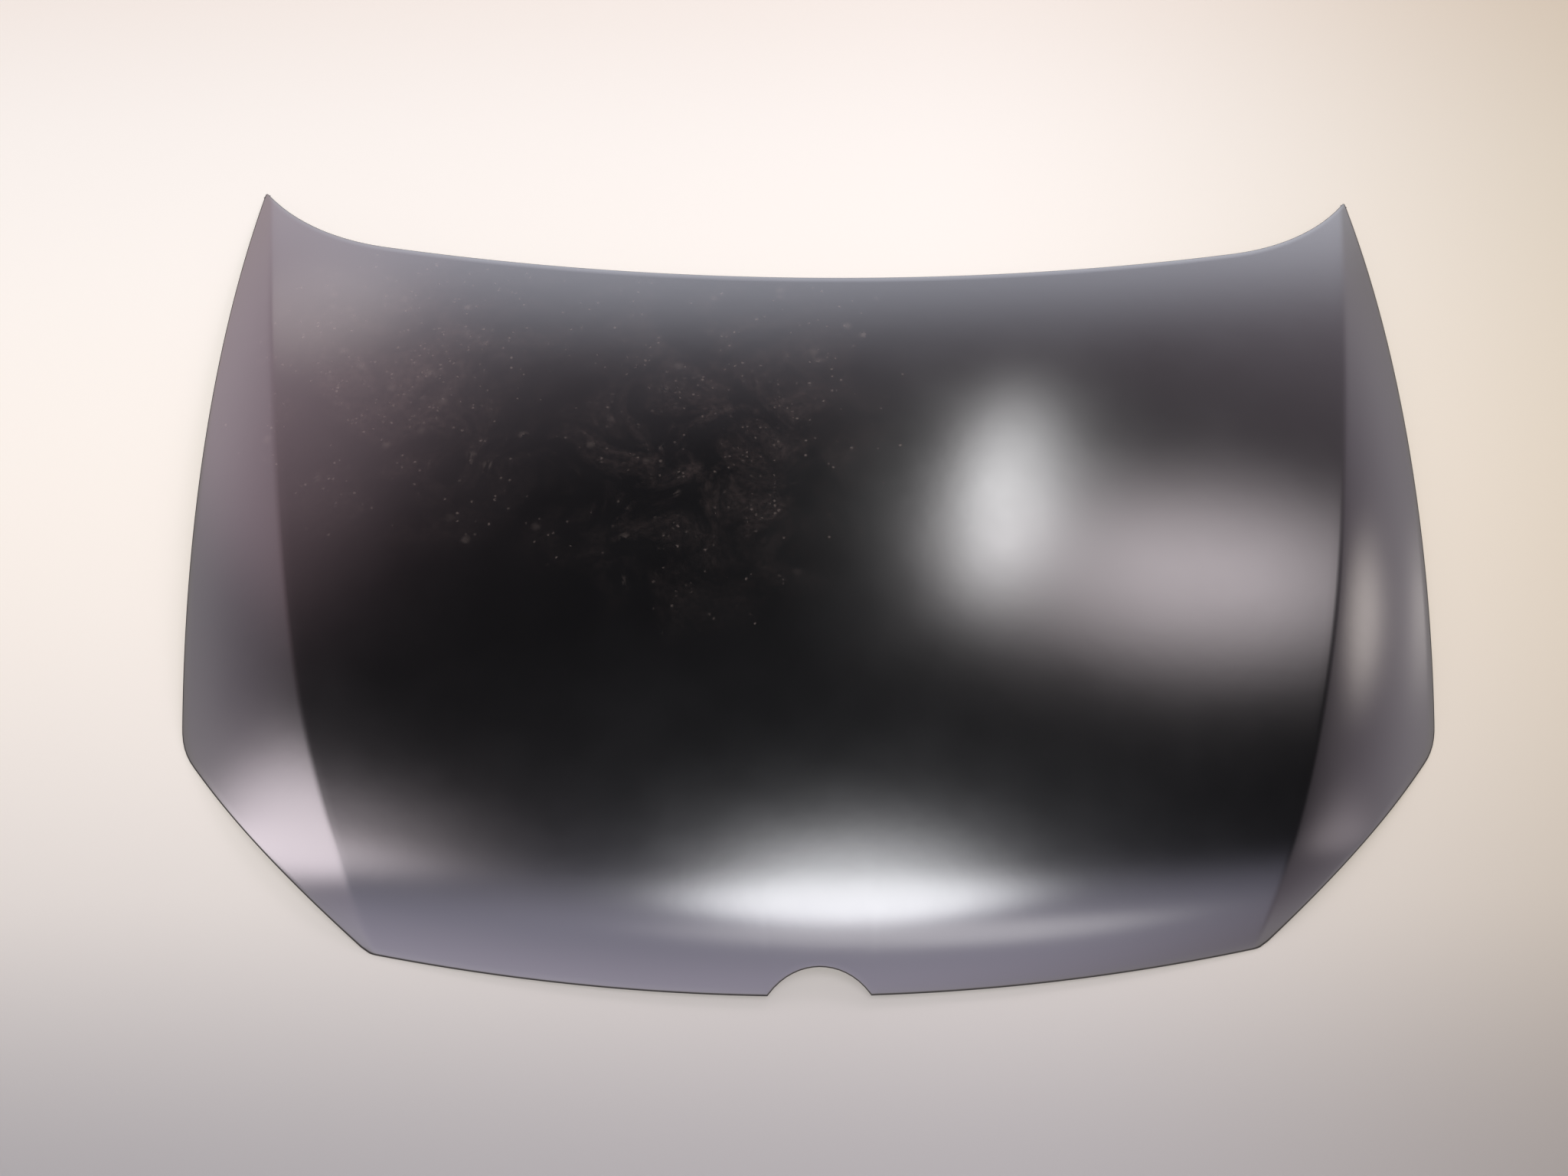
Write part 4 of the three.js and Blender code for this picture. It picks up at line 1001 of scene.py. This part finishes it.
def soft_lamp(name, place, across, facing, size, radiance, tint, core, only_gloss=False):
    """Oval softbox that fades from its core, a share of its half size, to its rim."""
    lamp = bpy.data.lights.new(name, "AREA")
    lamp.shape = "ELLIPSE"
    lamp.size, lamp.size_y = size
    lamp.color = tint
    face_area = math.pi / 4 * size[0] * size[1]
    lamp.energy = radiance * math.pi * face_area
    lamp.use_nodes = True
    tree = lamp.node_tree
    over = node(tree, "ShaderNodeNewGeometry", (-900, 0))
    away = node(tree, "ShaderNodeVectorMath", (-700, 0), {1: (0.5, 0.5, 0)},
                operation="DISTANCE")
    fade = node(tree, "ShaderNodeMapRange", (-450, 0),
                {"From Min": core / 2, "From Max": 0.5, "To Min": 1.0, "To Max": 0.0},
                interpolation_type="SMOOTHSTEP")
    tree.links.new(over.outputs["Parametric"], away.inputs[0])
    tree.links.new(away.outputs["Value"], fade.inputs["Value"])
    tree.links.new(fade.outputs["Result"], tree.nodes["Emission"].inputs["Strength"])
    held = bpy.data.objects.new(name, lamp)
    bpy.context.scene.collection.objects.link(held)
    back = Vector(facing).normalized()
    up = back.cross(Vector(across)).normalized()
    turn = Matrix((up.cross(back), up, back)).transposed().to_4x4()
    held.matrix_world = Matrix.Translation(place) @ turn
    held.visible_camera = False
    held.visible_diffuse = not only_gloss


def studio_light():
    soft_lamp("lamp_oval", (0.581, 1.155, 1.975), (0.985, -0.127, -0.113),
              (0.163, 0.523, 0.836), (0.40, 1.64), 7.1, (1.0, 0.99, 1.0), 0.06)
    soft_lamp("lamp_broad", (1.133, 0.841, 1.999), (0.942, -0.013, -0.336),
              (0.312, 0.408, 0.858), (1.74, 1.368), 3.5, (0.98, 0.88, 0.92), 0.0)
    soft_lamp("lamp_nose", (0.144, -0.971, 2.206), (0.985, -0.144, -0.098),
              (0.061, -0.24, 0.969), (1.29, 1.22), 6.4, (0.97, 0.975, 1.0), 0.42)
    soft_lamp("card_streak", (0.401, -1.627, 1.928), (0.991, -0.081, -0.104),
              (0.046, -0.526, 0.849), (2.28, 0.789), 1.67, (1.0, 0.96, 0.94), 0.36, True)
    soft_lamp("card_left_front", (-2.24, -0.656, 1.479), (0.652, 0.049, 0.756),
              (-0.744, -0.15, 0.651), (3.92, 1.516), 4.5, (1.0, 0.89, 0.95), 0.32, True)
    soft_lamp("card_flank_inner", (2.38, 0.58, 1.25), (0.55, -0.04, -0.83),
              (0.80, 0.31, 0.51), (0.62, 1.15), 2.75, (1.0, 0.90, 0.84), 0.1, True)
    soft_lamp("card_flank_outer", (2.68, 0.64, 0.656), (0.28, -0.04, -0.96),
              (0.90, 0.33, 0.28), (0.30, 1.1), 1.95, (1.0, 0.92, 0.86), 0.1, True)
    soft_lamp("card_flank_front", (2.46, -0.57, 1.27), (0.55, 0.1, -0.83),
              (0.82, -0.17, 0.55), (1.0, 0.8), 0.88, (1.0, 0.88, 0.92), 0.2, True)
    soft_lamp("card_wedge", (-1.32, 2.02, 1.19), (0.92, 0.33, 0.12),
              (-0.33, 0.79, 0.52), (0.7, 0.7), 0.82, (1.0, 0.95, 0.90), 0.4, True)
    soft_lamp("card_left_side", (-1.881, 1.74, 0.857), (-0.101, -0.495, 0.863),
              (-0.559, 0.746, 0.362), (4.943, 2.633), 0.68, (1.0, 0.70, 0.80), 0.41, True)
    soft_lamp("card_front", (-0.401, -2.005, 1.604), (0.945, 0.076, 0.317),
              (-0.182, -0.684, 0.706), (8.385, 4.496), 1.32, (0.83, 0.79, 1.0), 0.22, True)
    soft_lamp("card_rear", (0.211, 2.443, 0.55), (-0.936, 0.018, 0.351),
              (0.096, 0.974, 0.204), (4.392, 2.816), 1.68, (0.82, 0.88, 1.0), 0.42, True)


# World: the colour of the room seen in the gloss, by how steeply a reflection looks up

ROOM_DIRECTIONS = (0.0, 0.3, 0.5, 0.65, 0.8, 0.9)
ROOM_COLOURS = ((0.86, 0.78, 0.70), (0.96, 0.87, 0.96), (0.48, 0.41, 0.48),
                (0.25, 0.21, 0.24), (0.008, 0.008, 0.009), (0.003, 0.003, 0.004))
ROOM_BRIGHTNESS = 1.1
PLAIN_LIGHT = (1.0, 0.97, 0.97, 1)
PLAIN_BRIGHTNESS = 0.3
BACKDROP = (0.86, 0.77, 0.73, 1)


def world_light():
    """Plain weak light for matt colours, a pale backdrop, and the room seen in the gloss."""
    world = bpy.data.worlds.new("studio")
    bpy.context.scene.world = world
    world.use_nodes = True
    tree = world.node_tree
    tree.nodes.clear()
    link = tree.links.new
    place = node(tree, "ShaderNodeTexCoord", (-900, 0))
    parts = node(tree, "ShaderNodeSeparateXYZ", (-700, 0))
    link(place.outputs["Generated"], parts.inputs[0])
    ramp = coloured_ramp(tree, (-500, 0), ROOM_DIRECTIONS, ROOM_COLOURS)
    link(parts.outputs["Z"], ramp.inputs["Fac"])
    room = node(tree, "ShaderNodeBackground", (-200, 0), {"Strength": ROOM_BRIGHTNESS})
    link(ramp.outputs["Color"], room.inputs["Color"])
    plain = node(tree, "ShaderNodeBackground", (-200, 200),
                 {"Color": PLAIN_LIGHT, "Strength": PLAIN_BRIGHTNESS})
    backdrop = node(tree, "ShaderNodeBackground", (-200, -200), {"Color": BACKDROP})
    path = node(tree, "ShaderNodeLightPath", (-400, 400))
    gloss = node(tree, "ShaderNodeMixShader", (0, 100))
    link(path.outputs["Is Glossy Ray"], gloss.inputs[0])
    link(plain.outputs[0], gloss.inputs[1])
    link(room.outputs[0], gloss.inputs[2])
    pick = node(tree, "ShaderNodeMixShader", (200, 0))
    link(path.outputs["Is Camera Ray"], pick.inputs[0])
    link(gloss.outputs[0], pick.inputs[1])
    link(backdrop.outputs[0], pick.inputs[2])
    out = node(tree, "ShaderNodeOutputWorld", (400, 0))
    link(pick.outputs[0], out.inputs["Surface"])


# Camera

CAMERA_PLACE = (-0.0689, -1.9150, 3.2631)
CAMERA_TURN = (30.157, -3.376, -1.899)
CAMERA_LENS = 73
CAMERA_SENSOR = 36
CAMERA_SHIFT = -0.12
CAMERA_CLIP_END = 50


def camera():
    lens = bpy.data.cameras.new("camera")
    lens.lens = CAMERA_LENS
    lens.shift_x = CAMERA_SHIFT
    lens.sensor_width = CAMERA_SENSOR
    lens.sensor_fit = "HORIZONTAL"
    lens.clip_end = CAMERA_CLIP_END
    held = bpy.data.objects.new("camera", lens)
    bpy.context.scene.collection.objects.link(held)
    turn = Euler([math.radians(angle) for angle in CAMERA_TURN]).to_matrix().to_4x4()
    held.matrix_world = Matrix.Translation(CAMERA_PLACE) @ turn
    bpy.context.scene.camera = held


pale_floor()
studio_light()
world_light()
camera()
bpy.context.scene.view_settings.view_transform = "Standard"
